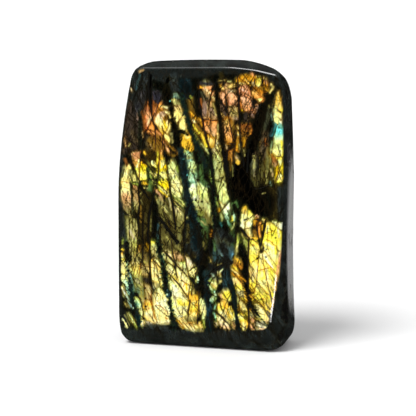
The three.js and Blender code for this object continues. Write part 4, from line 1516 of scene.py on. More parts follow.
# %% Cracks and seams
dark_cracks = [
    # Left of the lime column
    (0.6, 142, 73, 142, 79, 140, 86, 136, 93, 133, 101, 127.3, 113, 126, 121),
    (1, 149, 72, 149, 96, 151.5, 111, 152, 118), (0.8, 147.5, 82, 145.8, 111),
    (0.7, 152.3, 80, 151.8, 95, 152.5, 112), (0.5, 163.5, 95, 157, 107, 153, 118.5),
    (0.8, 152.6, 118, 146, 132.5), (1.1, 146, 131.5, 141.3, 157), (0.8, 152, 118, 155.5, 127, 158, 130.5),
    (0.6, 158, 130.5, 174, 149), (0.6, 155, 125.5, 155.5, 132, 155, 156), (0.9, 163, 136, 162.2, 147),
    (0.6, 162.2, 147, 165, 158), (0.6, 124, 136, 130, 141.5, 142.5, 149),
    (0.4, 147, 127, 152, 133, 160, 145), (0.5, 164, 140.5, 168, 146, 170.5, 151, 171.5, 156),
    (0.5, 172, 147, 176, 151, 178, 156), (0.5, 177.5, 123, 183.3, 114), (0.4, 190, 113, 198.7, 124.5),
    (0.8, 198.5, 80, 199.3, 90, 199, 98, 201.5, 114, 206.3, 139, 212.5, 157),
    # From the beige pane to the rose column
    (0.7, 216.3, 78, 215.3, 88, 212, 90.2, 206.8, 118.5),
    (0.5, 201, 119.5, 206, 119, 213, 120.5, 217, 120.7), (0.5, 206, 133.3, 209, 134, 214, 140.3),
    (0.6, 215.7, 133, 215.7, 139, 214.7, 147.5, 217.3, 150.5, 221, 157),
    (0.6, 224.7, 82, 226.7, 106, 229, 118), (0.7, 219.5, 97, 220.7, 101.5, 226.5, 110, 228.5, 114),
    (0.5, 219, 82.7, 230, 83.4), (0.6, 229, 118, 229.7, 124, 234.5, 147),
    (0.6, 227.8, 142.5, 231, 143.7, 232.7, 146.3, 230.6, 150), (0.7, 229, 147.5, 227.5, 156),
    # The trunk through the rose column
    (0.8, 237.3, 76, 238.8, 98, 240, 138, 241.5, 154), (0.6, 239, 96.5, 243.5, 110),
    (0.5, 241, 94, 248, 98, 250.7, 100.5), (0.5, 234.6, 120.5, 235.8, 128, 236, 136, 235, 150),
    (0.6, 238.7, 77, 251.5, 89), (0.7, 251.5, 89, 263, 99.5),
    (0.4, 251.3, 88, 251, 99.5, 252.5, 101.5, 257, 101.2), (0.5, 257, 101.5, 250.7, 115),
    (0.5, 262.7, 99, 260.5, 104, 256, 123), (0.5, 240, 112, 241, 124),
    (0.5, 250.6, 112, 249, 120, 246.5, 142), (0.4, 253, 126, 249, 149),
    # The fan
    (0.6, 254.7, 78.3, 254.4, 83, 253, 87), (0.7, 262.3, 77, 262.3, 86), (0.6, 269.3, 82, 265.7, 96),
    (0.5, 267.5, 92, 263.2, 102),
    # The right edge
    (0.6, 276.2, 94, 274.6, 100, 274, 106.7), (0.8, 272.5, 106, 282, 113.4),
    (0.5, 273.2, 112, 273, 118, 274.3, 122), (0.5, 277.5, 124, 273, 137, 271, 156),
    (0.5, 257.5, 139, 263, 143, 267, 145), (0.5, 262.5, 124, 258.7, 140),
    # Middle left
    (1.3, 129.5, 150, 131.7, 163), (0.9, 131.3, 162, 138.3, 180), (0.9, 141.3, 155, 138.7, 180),
    (1.1, 138.5, 178, 140.3, 185, 143, 190, 149.5, 199),
    (1.2, 155.3, 190, 149.8, 211, 148.7, 219, 147.7, 237, 149, 243),
    (0.8, 138.4, 187, 138.5, 194, 139.6, 202, 138.2, 215, 138.4, 232, 137.8, 244),
    (0.6, 141.5, 160.7, 147, 164.5, 152.5, 171.5), (0.8, 152, 171.5, 156, 176.7),
    (0.5, 146, 155, 157, 175), (0.7, 160, 150, 158.1, 177, 157.2, 182), (0.8, 157.5, 180, 155.5, 190),
    (0.4, 153.5, 152, 157.7, 168), (0.5, 157.5, 183.7, 165, 190.3, 168.7, 194.7),
    (0.8, 156.7, 187, 168.5, 206.3), (0.9, 164.5, 150, 170, 192), (1.1, 170, 192, 173.9, 212, 175.4, 229),
    (0.5, 140, 181.6, 150, 179.3, 157, 179.9), (0.5, 172, 199.5, 177.5, 204, 184, 211),
    (0.4, 172.7, 197.3, 186, 208), (0.9, 191, 202.7, 187.5, 208, 185.7, 214, 182.5, 246),
    (0.7, 123, 210.5, 126.3, 214, 130.7, 216), (0.7, 143.7, 210, 142.6, 232, 143, 246),
    (0.9, 153.5, 230.5, 150.7, 238), (1.1, 157.5, 216, 166, 226, 178, 243),
    (0.7, 163.5, 211, 168, 219, 170.7, 227), (0.5, 165.5, 152, 173, 160.5), (0.7, 190.5, 216, 201, 229),
    (0.4, 158.5, 194, 155, 203, 153, 212),
    # Middle right
    (1, 209.5, 150, 211.5, 164, 211.7, 171, 214.6, 185), (0.6, 216.5, 150.3, 222, 158.3),
    (1.3, 223.3, 150, 225, 165, 227.7, 177), (0.6, 221.7, 158, 226.5, 182), (0.9, 214.3, 186, 220.5, 209),
    (0.9, 209.7, 181, 212.3, 190, 212.7, 197), (1.1, 213, 198, 215.2, 228), (0.6, 209.7, 196, 213.3, 220),
    (0.8, 218, 214.5, 230.7, 200.5), (0.9, 228, 177, 230.5, 197), (0.6, 226, 183, 229.5, 193, 230.5, 199),
    (1, 227.5, 150, 226.5, 158, 228.5, 176), (0.7, 233.5, 150, 233.8, 160, 234.7, 166, 234.5, 176),
    (0.9, 242, 154, 243.5, 162, 243.5, 170), (1.8, 248.5, 150, 247, 172),
    (0.7, 256.5, 150, 258.3, 160, 258, 170),
    (0.4, 263.5, 150, 264.7, 170, 264, 178), (0.4, 269.5, 152, 269.3, 175),
    (0.4, 271, 152, 277, 156.5, 282.3, 157), (0.5, 279, 172.4, 276.8, 177, 275.5, 182),
    (0.5, 254, 189, 261, 188.3, 268, 185.5, 274, 184), (0.7, 245.3, 222, 244.8, 230),
    (0.6, 246, 228.7, 257.7, 226.7), (0.6, 250.8, 227.7, 250.5, 239.5),
    (1, 240.7, 227.3, 246, 235, 249.7, 238.7), (0.6, 249.7, 238.7, 253, 239.3, 256.5, 242, 260, 246),
    (0.5, 240.5, 229.5, 244, 236, 248.7, 242, 250, 246), (1.2, 265.7, 219.5, 265, 226, 261.3, 245),
    (0.7, 254, 219.3, 257.3, 219.3, 262, 220.5), (0.8, 257, 221, 256.7, 227, 259.3, 242),
    (0.5, 268, 220.3, 284, 233.3), (0.9, 230.3, 229.7, 223.5, 236.5, 221.5, 241),
    (0.8, 216, 217, 215.5, 226, 213.5, 234, 208, 246), (0.6, 236, 222, 236, 238, 235, 246),
    (1, 237.3, 215, 239, 228), (0.6, 231, 207, 231.3, 214, 230.3, 220),
    (0.4, 198.5, 186, 199.5, 193, 199.3, 199), (0.5, 200.5, 226, 207.5, 234),
    # Lower left
    (1.3, 143.5, 240, 142.6, 257), (0.8, 142.7, 257, 140.7, 269),
    (1.1, 150.2, 238, 150, 277, 152.6, 289.5), (0.4, 145.5, 288, 151.7, 299, 152.7, 303),
    (0.4, 144.6, 285, 145, 306), (0.8, 134.3, 295, 137.3, 294.5, 139, 297.5, 141.3, 299),
    (0.6, 139, 297.5, 141.3, 303, 142.7, 309, 144.5, 328), (0.7, 121.3, 284.5, 130, 297.3),
    (0.6, 121.3, 290, 130, 307.5), (0.7, 130, 307.5, 138, 326.5), (0.5, 127.5, 313.5, 133, 325),
    (0.5, 151.3, 257.5, 158.5, 266, 161.7, 268.3), (0.4, 153.5, 306, 156, 320),
    (0.8, 162.5, 251, 166.5, 254, 188, 277),
    (0.8, 171.5, 240, 172.5, 254, 174.5, 260, 176.5, 274, 178.3, 280),
    (0.6, 165, 261, 169, 263, 173.3, 266.3, 175.5, 269), (0.8, 165.5, 270, 178, 283.5, 189, 299),
    (0.6, 190.3, 283, 188.3, 297, 189.5, 301), (0.8, 190.7, 299.7, 189, 306, 187.7, 323),
    (0.7, 184.7, 238, 184.6, 254, 188.3, 274), (0.6, 184.5, 250, 198, 266.5),
    (0.4, 188, 250, 198.3, 264.5), (0.6, 188.7, 271.3, 192.3, 268, 197, 266),
    (0.9, 188, 274, 190.7, 278.3, 196.5, 285), (1.1, 192, 284, 192, 295),
    (0.7, 203.7, 253, 199.7, 260, 194.7, 279, 193.7, 285), (1.1, 198.8, 290, 199, 311),
    (0.9, 197.6, 312, 197.5, 324), (0.4, 175, 318, 179, 321, 186, 330),
    (0.4, 180, 318, 188, 327.5, 190, 331),
    # Lower right
    (1, 248.7, 238, 247.7, 275, 248.3, 300),
    (0.9, 248.3, 300, 248.2, 309, 249, 318, 248.7, 327, 246, 337), (0.9, 240.5, 248, 247.5, 261),
    (0.8, 250, 294, 265, 309), (0.8, 265, 309, 271, 315), (0.7, 261, 305, 268.7, 316.7, 270.3, 321),
    (0.4, 262, 305, 268, 312.5, 271, 318), (1.2, 259.7, 242, 260.7, 252.5),
    (0.7, 262, 244, 264, 247.5, 262.5, 252), (0.7, 258.7, 252, 256.7, 285), (0.9, 256.3, 284.5, 254, 292),
    (0.8, 261.5, 252, 268, 286), (0.7, 268, 286, 271.3, 297, 272, 303.5),
    (0.7, 264.5, 250.5, 270.5, 257.7), (0.5, 270.5, 257.7, 279.5, 270),
    (0.3, 264.7, 259.5, 269, 265, 277.5, 274), (0.5, 256.7, 283.3, 274, 299.3), (0.7, 235, 270, 243, 276),
    (0.6, 232.5, 272, 240.5, 281, 244.5, 287.5), (0.5, 236, 273.5, 246, 284),
    (0.9, 247, 276, 246.3, 284),
    (0.5, 236.7, 294.5, 240.5, 299.3, 245, 302.7), (0.6, 238.5, 304, 245, 319.7),
    (0.5, 240, 320.3, 241.7, 326, 241.3, 331), (0.9, 249.7, 300.5, 250.7, 306, 255, 316.5),
    (0.7, 254.3, 316, 255.5, 326), (0.4, 224, 305.5, 232, 318), (0.6, 225.3, 311, 235, 326),
    (1, 216.7, 312.7, 220, 315, 231, 327), (0.5, 223.3, 316.5, 231.5, 325),
    (0.6, 217, 318.5, 222.5, 329.5), (0.5, 209, 281.5, 216.3, 288.7),
    (0.9, 210, 240, 209, 249, 210.5, 257, 212.5, 263), (0.9, 206, 244, 201.5, 252, 199.7, 260),
    (0.5, 202, 279, 208, 275.5, 221, 265, 228, 261.5), (0.5, 231, 262, 219, 276),
    (0.9, 244.3, 331.5, 245.7, 326),
]
amber_seams = [
    (0.4, 121, 182, 126, 182, 130, 183), (0.4, 122, 187, 129, 189),
    (0.5, 150.7, 290, 151, 300, 152, 304, 152.3, 309, 155, 318, 157.5, 322.5),
    (0.4, 154.5, 289, 155.7, 303), (0.4, 155, 305, 159, 305.5, 162, 307, 169, 314),
    (0.4, 147, 299, 150, 301, 151.5, 303.3), (0.4, 265, 239, 270, 241, 278, 248),
    (0.4, 265, 261, 278, 275), (0.5, 258, 271, 266, 268.5, 272, 268), (0.4, 251, 255, 256, 259),
    (0.5, 250, 265, 253, 268), (0.5, 249.5, 271, 255, 278), (0.6, 263, 301, 264.5, 306),
    (0.5, 183, 281, 185, 284, 183, 287), (0.5, 195, 297, 197, 303), (0.6, 190, 323, 195, 328),
    (0.5, 265, 234, 273, 231), (0.8, 140.6, 262, 139, 277), (0.4, 266, 271, 273, 282),
]
pixel_mm = 0.416
gap_limit = 3.0
crack_margin = 8


def gap_to(lines):
    """Millimetres from each front point to the nearest of these lines' edges. A line is
    (half width, x, y, x, y, ...), and thins out to half of its width at both ends."""
    gap = np.full(len(points), gap_limit)
    for half, *numbers in lines:
        corners = stations_of(0, numbers)
        where = near(corners, crack_margin)
        bulge = np.sin(np.pi * np.linspace(0, 1, len(corners)))
        stations = [(x, y, half * (0.5 + 0.5 * wide)) for (x, y), wide in zip(corners, bulge)]
        reach = line_reach(soft_x[where], soft_y[where], stations) * pixel_mm
        gap[where] = np.minimum(gap[where], reach)
    return gap


crack_gap = gap_to(dark_cracks)
seam_gap = gap_to(amber_seams)
print(len(dark_cracks), "cracks and", len(amber_seams), "seams")

# %% [markdown]
# Between the cracks that were drawn one by one is a net of hairlines, which is what makes
# the picture look like frost or branches. There are too many to draw, so they are grown:
# each region has a number of them, a length and the slopes they like, and a seeded random
# walk lets each wander and fork.

# %% Hairlines
hairline_regions = [
    # Left, top, right, bottom, number, slopes in degrees (90 is straight down), half width
    (124, 76, 178, 156, 62, (52, 66, 76, 108), 0.3),
    (184, 76, 224, 150, 34, (66, 74, 84, 104), 0.3),
    (222, 70, 276, 134, 78, (50, 66, 82, 104, 122), 0.3),
    (222, 120, 264, 200, 26, (70, 84, 104, 118), 0.4),
    (254, 140, 284, 214, 34, (64, 80, 98, 112), 0.28),
    (120, 150, 184, 214, 58, (48, 60, 74, 100), 0.28),
    (120, 210, 190, 262, 54, (56, 70, 84, 102), 0.32),
    (184, 150, 236, 236, 44, (66, 76, 88, 112), 0.28),
    (194, 226, 250, 296, 44, (54, 70, 92, 118), 0.36),
    (120, 250, 196, 330, 62, (46, 56, 66, 88), 0.26),
    (204, 286, 250, 330, 42, (48, 58, 72, 96), 0.32),
    (248, 218, 282, 296, 16, (40, 56, 76, 140), 0.2),
    (240, 286, 272, 330, 24, (48, 56, 66), 0.3),
]
hair_step = 4
slope_spread, bend_spread = 5, 0.09
hair_thinning = 0.8
trunk_lengths, fork_lengths, fork_turns, fork_share = (10, 46), (5, 15), (18, 40), 0.7


def grow_hairline(x, y, slope, length, half):
    """Corners of a line that wanders, step by step, and thins out towards its end."""
    corners = [(x, y, half)]
    turn = math.radians(slope + random.normal(0, slope_spread))
    steps = max(2, int(length / hair_step))
    for step in range(steps):
        turn += random.normal(0, bend_spread)
        x += hair_step * math.cos(turn)
        y += hair_step * math.sin(turn)
        corners.append((x, y, half * (1 - hair_thinning * (step + 1) / steps)))
    return corners


hairlines = []
for left, top, right, bottom, number, slopes, half in hairline_regions:
    for _ in range(number):
        start = random.uniform((left, top), (right, bottom))
        slope = random.choice(slopes)
        half_here = half * random.uniform(0.5, 1.5)
        trunk = grow_hairline(*start, slope, random.uniform(*trunk_lengths), half_here)
        x, y, _ = trunk[random.integers(len(trunk))]
        fork_slope = slope + random.choice((-1, 1)) * random.uniform(*fork_turns)
        fork = grow_hairline(x, y, fork_slope, random.uniform(*fork_lengths), half_here * fork_share)
        hairlines += [trunk, fork]

hair_gap = np.full(len(points), gap_limit)
for stations in hairlines:
    where = near([(x, y) for x, y, width in stations], 5)
    if len(where):
        reach = line_reach(soft_x[where], soft_y[where], stations) * pixel_mm
        hair_gap[where] = np.minimum(hair_gap[where], reach)
print("hairlines:", len(hairlines))

# %% [markdown]
# The flash is seen on the front alone. The twin plates run on through the stone, though,
# so the sides, top and back show the same upright lamellae, cut at other angles, where
# only a few catch some teal, blue or olive gold. Cells grown from seeded centres, stretched
# along the height, give that: each point takes the look of its nearest centre, and the
# borders between two cells become thin cracks. Clouds bend the borders and make them
# ragged. A noise texture would miss the hard edges.

# %% Sides and back
cell_count = 420
cell_stretch = np.array([6.5, 5.0, 21.0])
cell_tilt = 0.16
bend_mm, ragged_mm = 1.1, 0.9
behind_mm = 0.4
batches = 40
deep_looks = {
    "body": 8,
    "slate": 8,
    "pitch": 7,
    "plum slate": 4,
    "sage": 6,
    "umber": 4,
    "tarn": 3,
    "deep teal": 3,
    "dusk": 3,
    "olive": 2,
    "moss": 3,
    "lichen": 1,
}
behind = np.flatnonzero(front_face_depth < -behind_mm)
deep_x, deep_y, deep_z = points[behind].T
stretched = points[behind].copy()
stretched[:, 0] -= cell_tilt * stretched[:, 2]
bend_starts = ((deep_y, 3), (deep_x, 31), (deep_x, 77))
bends = [cloud(deep_z / 7 + start, side / 7 + start) for side, start in bend_starts]
stretched += bend_mm * np.stack(bends, -1)
rag_starts = ((deep_y, 53), (deep_x, 61), (deep_x, 97))
rags = [cloud(deep_z / 1.9 + start, side / 1.4) for side, start in rag_starts]
stretched += ragged_mm * np.stack(rags, -1)
stretched /= cell_stretch
low, high = stretched.min(0), stretched.max(0)
centres = random.uniform(low, high, (cell_count, 3))
names, weights = list(deep_looks), np.array(list(deep_looks.values()), float)
cell_looks = random.choice(len(names), cell_count, p=weights / weights.sum())
look_colours = np.array([paint[name] for name in names])

nearest = np.zeros(len(behind), int)
border = np.zeros(len(behind))
for part in np.array_split(np.arange(len(behind)), batches):
    distance = np.linalg.norm(stretched[part, None] - centres[None], axis=2)
    order = np.argpartition(distance, 1, axis=1)[:, :2]
    two = np.take_along_axis(distance, order, axis=1)
    swap = two[:, 0] > two[:, 1]
    nearest[part] = np.where(swap, order[:, 1], order[:, 0])
    border[part] = abs(two[:, 1] - two[:, 0])
print("cells on the sides and back:", len(np.unique(nearest)))

# %% [markdown]
# Thin upright lamella lines and some speckle go over the cells. Most of them are dim, and
# only in wide patches do they flash. Where the light edge of the front ends, within 3 mm
# behind it, the canvas fades from the front's own colours into this pattern.

# %% Lamellae of the sides and back
side_turn = 0.6
lamella_depth, speckle_depth = 0.28, 0.22
flashing_share, patch_strength, dimmest = 0.56, 0.8, 0.15
plain_rim_mm, plain_fade_mm = 9, 6
front_rim_mm, front_fade_mm = 0.8, 2.6
gap_stretch, gap_start, gap_raggedness = 3.2, 0.25, 0.5
around_stone = np.where(abs(normals[behind, 0]) > side_turn, deep_y, deep_x)
lamellae = layered(around_stone, deep_z, (1, 0.8, 16, 9, 0))
speckle = layered(around_stone, deep_z, (1, 0.9, 1.3, 45, 8))
patches = cloud(deep_x / 13 + deep_y / 9 + 60, deep_z / 19)
deep = look_colours[cell_looks[nearest]]
deep = deep * (1 + lamella_depth * lamellae[:, None] + speckle_depth * speckle[:, None])
flashing = np.clip(flashing_share + patch_strength * patches, dimmest, 1)[:, None]
depth_behind = -front_face_depth[behind, None]
coloured = share_past(depth_behind - plain_rim_mm, plain_fade_mm) * flashing
deep = plain_colour[behind] + (deep - plain_colour[behind]) * coloured
fade = share_past(depth_behind - front_rim_mm, front_fade_mm)
canvas[behind] += (np.clip(deep, 0, 1) - canvas[behind]) * fade
deep_gap = border * gap_stretch - gap_start + gap_raggedness * np.clip(speckle + lamellae, 0, 1)
deep_gap = np.where(fade[:, 0] > 0.9, deep_gap, gap_limit)
crack_gap[behind] = np.minimum(crack_gap[behind], deep_gap)
print("points behind the front face:", len(behind))

# %% [markdown]
# Before the colours are stored, the flash is tinted: a little cooler in the middle, and
# brighter below, where the gold pane and the gold fan shine most, but duller in the smoky
# columns at the left. Then the contrast is raised. A bright colour is scaled as a whole, so
# that it keeps its hue. The colours, in linear light, and the distances to cracks, seams
# and hairlines become plain attributes of the mesh, which an export can bake.

# %% Store the colours
contrast, black_level = 1.19, 0.035
flash_start, flash_range = 0.22, 0.08
tint_rows = (120, 160, 225, 258)
row_tints = [(0.98, 0.96, 0.95), (0.94, 0.97, 0.97), (0.97, 1.0, 1.03), (1.14, 1.15, 1.25)]
smoky_dimming = (0.2, 0.18, 0.36)
pane_lift, fan_lift = 0.1, 0.14
colour_store = slab_mesh.attributes.new("flash_colour", "FLOAT_VECTOR", "POINT")
flash_tint = blended(pixel_y, tint_rows, row_tints)
smoky = share_past(pixel_x - 129, 5) * share_past(153 - pixel_x, 4)
smoky *= share_past(pixel_y - 236, 8) * share_past(306 - pixel_y, 10)
gold_pane = share_past(pixel_x - 246, 6) * share_past(pixel_y - 214, 6)
gold_fan = share_past(pixel_x - 214, 5) * share_past(pixel_y - 276, 8) * (1 - gold_pane)
flash_tint *= 1 - smoky[:, None] * smoky_dimming
flash_tint *= 1 + pane_lift * gold_pane[:, None] + fan_lift * gold_fan[:, None]
is_flash = smooth((canvas.mean(1, keepdims=True) - flash_start) / flash_range)
canvas *= 1 + (flash_tint - 1) * is_flash
lightness = np.maximum(canvas.mean(1, keepdims=True), 0.01)
deepened = canvas * contrast * np.clip(1 - black_level / lightness, 0.1, 1)
deepened /= np.maximum(deepened.max(1, keepdims=True), 1)
painted = to_linear(deepened)
colour_store.data.foreach_set("vector", painted.astype(np.float32).ravel())
for name, gaps in (("crack_gap", crack_gap), ("seam_gap", seam_gap), ("hair_gap", hair_gap)):
    store = slab_mesh.attributes.new(name, "FLOAT", "POINT")
    store.data.foreach_set("value", gaps.astype(np.float32))
print("attributes:", [attribute.name for attribute in slab_mesh.attributes][-3:])

# %% [markdown]
# Polished labradorite is a feldspar with an IOR of 1.56, ground with finer and finer grit
# and buffed with oxide, so it has a clear gloss like glass: low roughness, no metal and no
# coat. The colour comes from inside the stone, so it is plain base colour, and the gloss
# lies over it. A fine grain and the ends of the plates and clefts vary it, as they do in
# any feldspar. In a Mix node, inputs 6 and 7 and output 2 are the ones for colours.

# %% Polished labradorite
stone_material = bpy.data.materials.new("polished_labradorite")
stone_material.use_nodes = True
tree = stone_material.node_tree
gloss = tree.nodes["Principled BSDF"]
gloss.inputs["IOR"].default_value = 1.56
gloss.inputs["Metallic"].default_value = 0

place = add_node(tree, "ShaderNodeTexCoord").outputs["Object"]
grain_mm = 0.35
grain_inputs = {"Vector": place, "Scale": 1 / (grain_mm * MM), "Detail": 2.0}
fine_grain = add_node(tree, "ShaderNodeTexNoise", grain_inputs).outputs["Fac"]

# Lean in degrees, and width and height in mm, of the plates, the clefts and the net's cells
pattern_sizes = [(4, 0.526, 6.67), (38, 0.435, 4.76), (14, 3.03, 7.14)]
places = []
for lean, wide_mm, tall_mm in pattern_sizes:
    scale = [1 / (size * MM) for size in (wide_mm, wide_mm, tall_mm)]
    inputs = {"Vector": place, "Rotation": (0, math.radians(lean), 0), "Scale": scale}
    places.append(add_node(tree, "ShaderNodeMapping", inputs).outputs["Vector"])
net_place = places.pop()
plates, clefts = [
    add_node(tree, "ShaderNodeTexNoise", {"Vector": at, "Scale": 1.0, "Detail": 2.0}).outputs["Fac"]
    for at in places
]
both = add_node(tree, "ShaderNodeMath", {0: plates, 1: clefts}, operation="ADD").outputs["Value"]

# A value, what it runs from and to, and how much it darkens and brightens the stone
stone_tones = [(fine_grain, 0.3, 0.7, 0.86, 1.12), (both, 0.75, 1.25, 0.8, 1.2)]
stone_colour = add_node(tree, "ShaderNodeAttribute", attribute_name="flash_colour").outputs["Vector"]
for value, low, high, dark, bright in stone_tones:
    inputs = {"Value": value, "From Min": low, "From Max": high, "To Min": dark, "To Max": bright}
    tone = add_node(tree, "ShaderNodeMapRange", inputs).outputs["Result"]
    layers = {0: 1.0, 6: stone_colour, 7: tone}
    toned = add_node(tree, "ShaderNodeMix", layers, data_type="RGBA", blend_type="MULTIPLY")
    stone_colour = toned.outputs[2]
print("tones of the stone:", len(stone_tones))

# %% [markdown]
# Each kind of line is laid where its distance is small. A stain comes first and is wider
# than its line: iron has crept into the stone beside the cracks and turned it amber. The
# fine grain makes the distances ragged. The finest lines, a net of crazing, come from a
# pattern of cells, whose borders are never far from one another.

# %% Lines in the stone
raggedness_mm = 0.22
half_raggedness = {0: fine_grain, 1: raggedness_mm, 2: -raggedness_mm / 2}
ragged = add_node(tree, "ShaderNodeMath", half_raggedness, operation="MULTIPLY_ADD").outputs["Value"]
distances = []
for name in ("crack_gap", "seam_gap", "hair_gap"):
    stored = add_node(tree, "ShaderNodeAttribute", attribute_name=name).outputs["Fac"]
    distance = add_node(tree, "ShaderNodeMath", {0: stored, 1: ragged}, operation="ADD")
    distances.append(distance.outputs["Value"])
crack_distance, seam_distance, hair_distance = distances

net_bend = add_node(tree, "ShaderNodeTexNoise", {"Vector": net_place, "Scale": 1.7, "Detail": 2.0})
bend_inputs = {0: net_bend.outputs["Color"], 1: (0.45, 0.45, 0.45), 2: net_place}
bent = add_node(tree, "ShaderNodeVectorMath", bend_inputs, operation="MULTIPLY_ADD").outputs["Vector"]
net_cells = {"Vector": bent, "Scale": 1.0}
net = add_node(tree, "ShaderNodeTexVoronoi", net_cells, feature="DISTANCE_TO_EDGE").outputs["Distance"]

# A distance, where the line is full and where it ends, in mm, its cover, colour and blend
crack_full, crack_end = -0.08, 0.1
line_layers = [
    (net, 0.0, 0.06, 0.3, "#2A2010", "MIX"),
    (crack_distance, 0.02, 0.4, 0.55, "#E8B860", "MULTIPLY"),
    (seam_distance, -0.02, 0.2, 0.8, "#C88A30", "MULTIPLY"),
    (hair_distance, 0.0, 0.35, 0.4, "#D0B450", "MULTIPLY"),
    (hair_distance, -0.04, 0.17, 0.9, "#120E06", "MIX"),
    (crack_distance, crack_full, crack_end, 0.94, "#0B0B07", "MIX"),
]
for distance, full, end, cover, hex_colour, blend in line_layers:
    limits = {"Value": distance, "From Min": full, "From Max": end, "To Min": cover, "To Max": 0.0}
    near_line = add_node(tree, "ShaderNodeMapRange", limits, interpolation_type="SMOOTHSTEP")
    layers = {0: near_line.outputs["Result"], 6: stone_colour, 7: solid_colour(hex_colour)}
    lined = add_node(tree, "ShaderNodeMix", layers, data_type="RGBA", blend_type=blend)
    stone_colour = lined.outputs[2]
tree.links.new(stone_colour, gloss.inputs["Base Color"])
print("layers of lines:", len(line_layers))

# %% [markdown]
# A hand polish is never quite even. Its slow waves, a few millimetres wide and only
# hundredths deep, bend reflections a little, and smudges vary the gloss. Cracks are a
# little rougher, and sunk by a few hundredths of a millimetre.

# %% The polish
smudge_mm, wave_mm = 9, 11
wave_depth_mm, crack_depth_mm = 0.02, 0.03
smoothest, roughest, crack_roughness = 0.035, 0.07, 0.25
limits = {"Value": crack_distance, "From Min": crack_full, "From Max": crack_end, "To Min": 1, "To Max": 0}
in_crack = add_node(tree, "ShaderNodeMapRange", limits, interpolation_type="SMOOTHSTEP").outputs["Result"]
smudge_inputs = {"Vector": place, "Scale": 1 / (smudge_mm * MM), "Detail": 3.0}
smudges = add_node(tree, "ShaderNodeTexNoise", smudge_inputs).outputs["Fac"]
smudge_range = {"Value": smudges, "From Min": 0.3, "From Max": 0.7, "To Min": smoothest, "To Max": roughest}
smudged = add_node(tree, "ShaderNodeMapRange", smudge_range).outputs["Result"]
rough_inputs = {0: in_crack, 1: crack_roughness, 2: smudged}
rough = add_node(tree, "ShaderNodeMath", rough_inputs, operation="MULTIPLY_ADD").outputs["Value"]
tree.links.new(rough, gloss.inputs["Roughness"])

wave_inputs = {"Vector": place, "Scale": 1 / (wave_mm * MM), "Detail": 1.0}
waves = add_node(tree, "ShaderNodeTexNoise", wave_inputs).outputs["Fac"]
wavy = {"Height": waves, "Strength": 1.0, "Distance": wave_depth_mm * MM}
wavy_normal = add_node(tree, "ShaderNodeBump", wavy).outputs["Normal"]
sunken = {"Height": in_crack, "Strength": 1.0, "Distance": crack_depth_mm * MM, "Normal": wavy_normal}
sunken_normal = add_node(tree, "ShaderNodeBump", sunken, invert=True).outputs["Normal"]
tree.links.new(sunken_normal, gloss.inputs["Normal"])
slab_mesh.materials.append(stone_material)
print("material nodes:", len(tree.nodes))

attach(slab, "root")
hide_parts("stone")

# %% [markdown]
# The photograph was taken on a white table that fades into a white wall, and the stone
# stands alone on it, with a short soft shadow to its right. A plain white floor does that.
# A polished stone mirrors its surroundings, so a photographer puts black cards round it,
# out of the picture: what the gloss sees of the floor is white behind the stone only.

# %% The floor
floor_radius = 4.0
floor_corners = 96
floor_drop_mm = 0.02
floor_mesh = bpy.data.meshes.new("floor")
floor_turns = np.linspace(0, 2 * math.pi, floor_corners, endpoint=False)
edge_points = [(floor_radius * math.cos(turn), floor_radius * math.sin(turn), 0) for turn in floor_turns]
floor_mesh.from_pydata(edge_points, [], [list(range(floor_corners))])
floor = bpy.data.objects.new("floor", floor_mesh)
bpy.context.scene.collection.objects.link(floor)
floor.location.z = -floor_drop_mm * MM
floor_material = bpy.data.materials.new("white_studio_floor")
floor_material.use_nodes = True
floor_tree = floor_material.node_tree
floor_paint = floor_tree.nodes["Principled BSDF"]
floor_paint.inputs["Base Color"].default_value = solid_colour("#F4F4F4")
floor_paint.inputs["Roughness"].default_value = 0.9
floor_paint.inputs["Specular IOR Level"].default_value = 0.0
floor_place = add_node(floor_tree, "ShaderNodeTexCoord").outputs["Object"]
floor_turn = add_node(floor_tree, "ShaderNodeVectorMath", {0: floor_place}, operation="NORMALIZE")
floor_split = add_node(floor_tree, "ShaderNodeSeparateXYZ", {"Vector": floor_turn.outputs["Vector"]})
floor_reach = add_node(floor_tree, "ShaderNodeVectorMath", {0: floor_place}, operation="LENGTH")

# The open floor behind the stone lies between the cards and ends 0.5 to 0.68 m from it
between_cards = {
    "Value": floor_split.outputs["Y"], "From Min": 0.8, "From Max": 0.96, "To Min": 0, "To Max": 0.66
}
before_wall = {
    "Value": floor_reach.outputs["Value"], "From Min": 0.5, "From Max": 0.68, "To Min": 1, "To Max": 0
}
card_glow = 0.015
between, before = [
    add_node(floor_tree, "ShaderNodeMapRange", limits, interpolation_type="SMOOTHSTEP").outputs["Result"]
    for limits in (between_cards, before_wall)
]
open_inputs = {0: between, 1: before, 2: card_glow}
open_floor = add_node(floor_tree, "ShaderNodeMath", open_inputs, operation="MULTIPLY_ADD")
mirrored_floor = add_node(floor_tree, "ShaderNodeEmission", {"Strength": open_floor.outputs["Value"]})
gloss_ray = add_node(floor_tree, "ShaderNodeLightPath").outputs["Is Glossy Ray"]
floor_parts = {0: gloss_ray, 1: floor_paint.outputs[0], 2: mirrored_floor.outputs[0]}
floor_look = add_node(floor_tree, "ShaderNodeMixShader", floor_parts)
floor_tree.links.new(floor_look.outputs[0], floor_tree.nodes["Material Output"].inputs["Surface"])
floor_mesh.materials.append(floor_material)
print("the floor is", 2 * floor_radius, "m wide")

# %% [markdown]
# The light is a large soft box high at the front left, so far away that it lights the whole
# floor evenly. A low strip at the right gives the bright line along the lower right bevel.
# The front face mirrors a dark studio, which is why the flash looks so deep, while the
# camera itself sees white behind the stone.

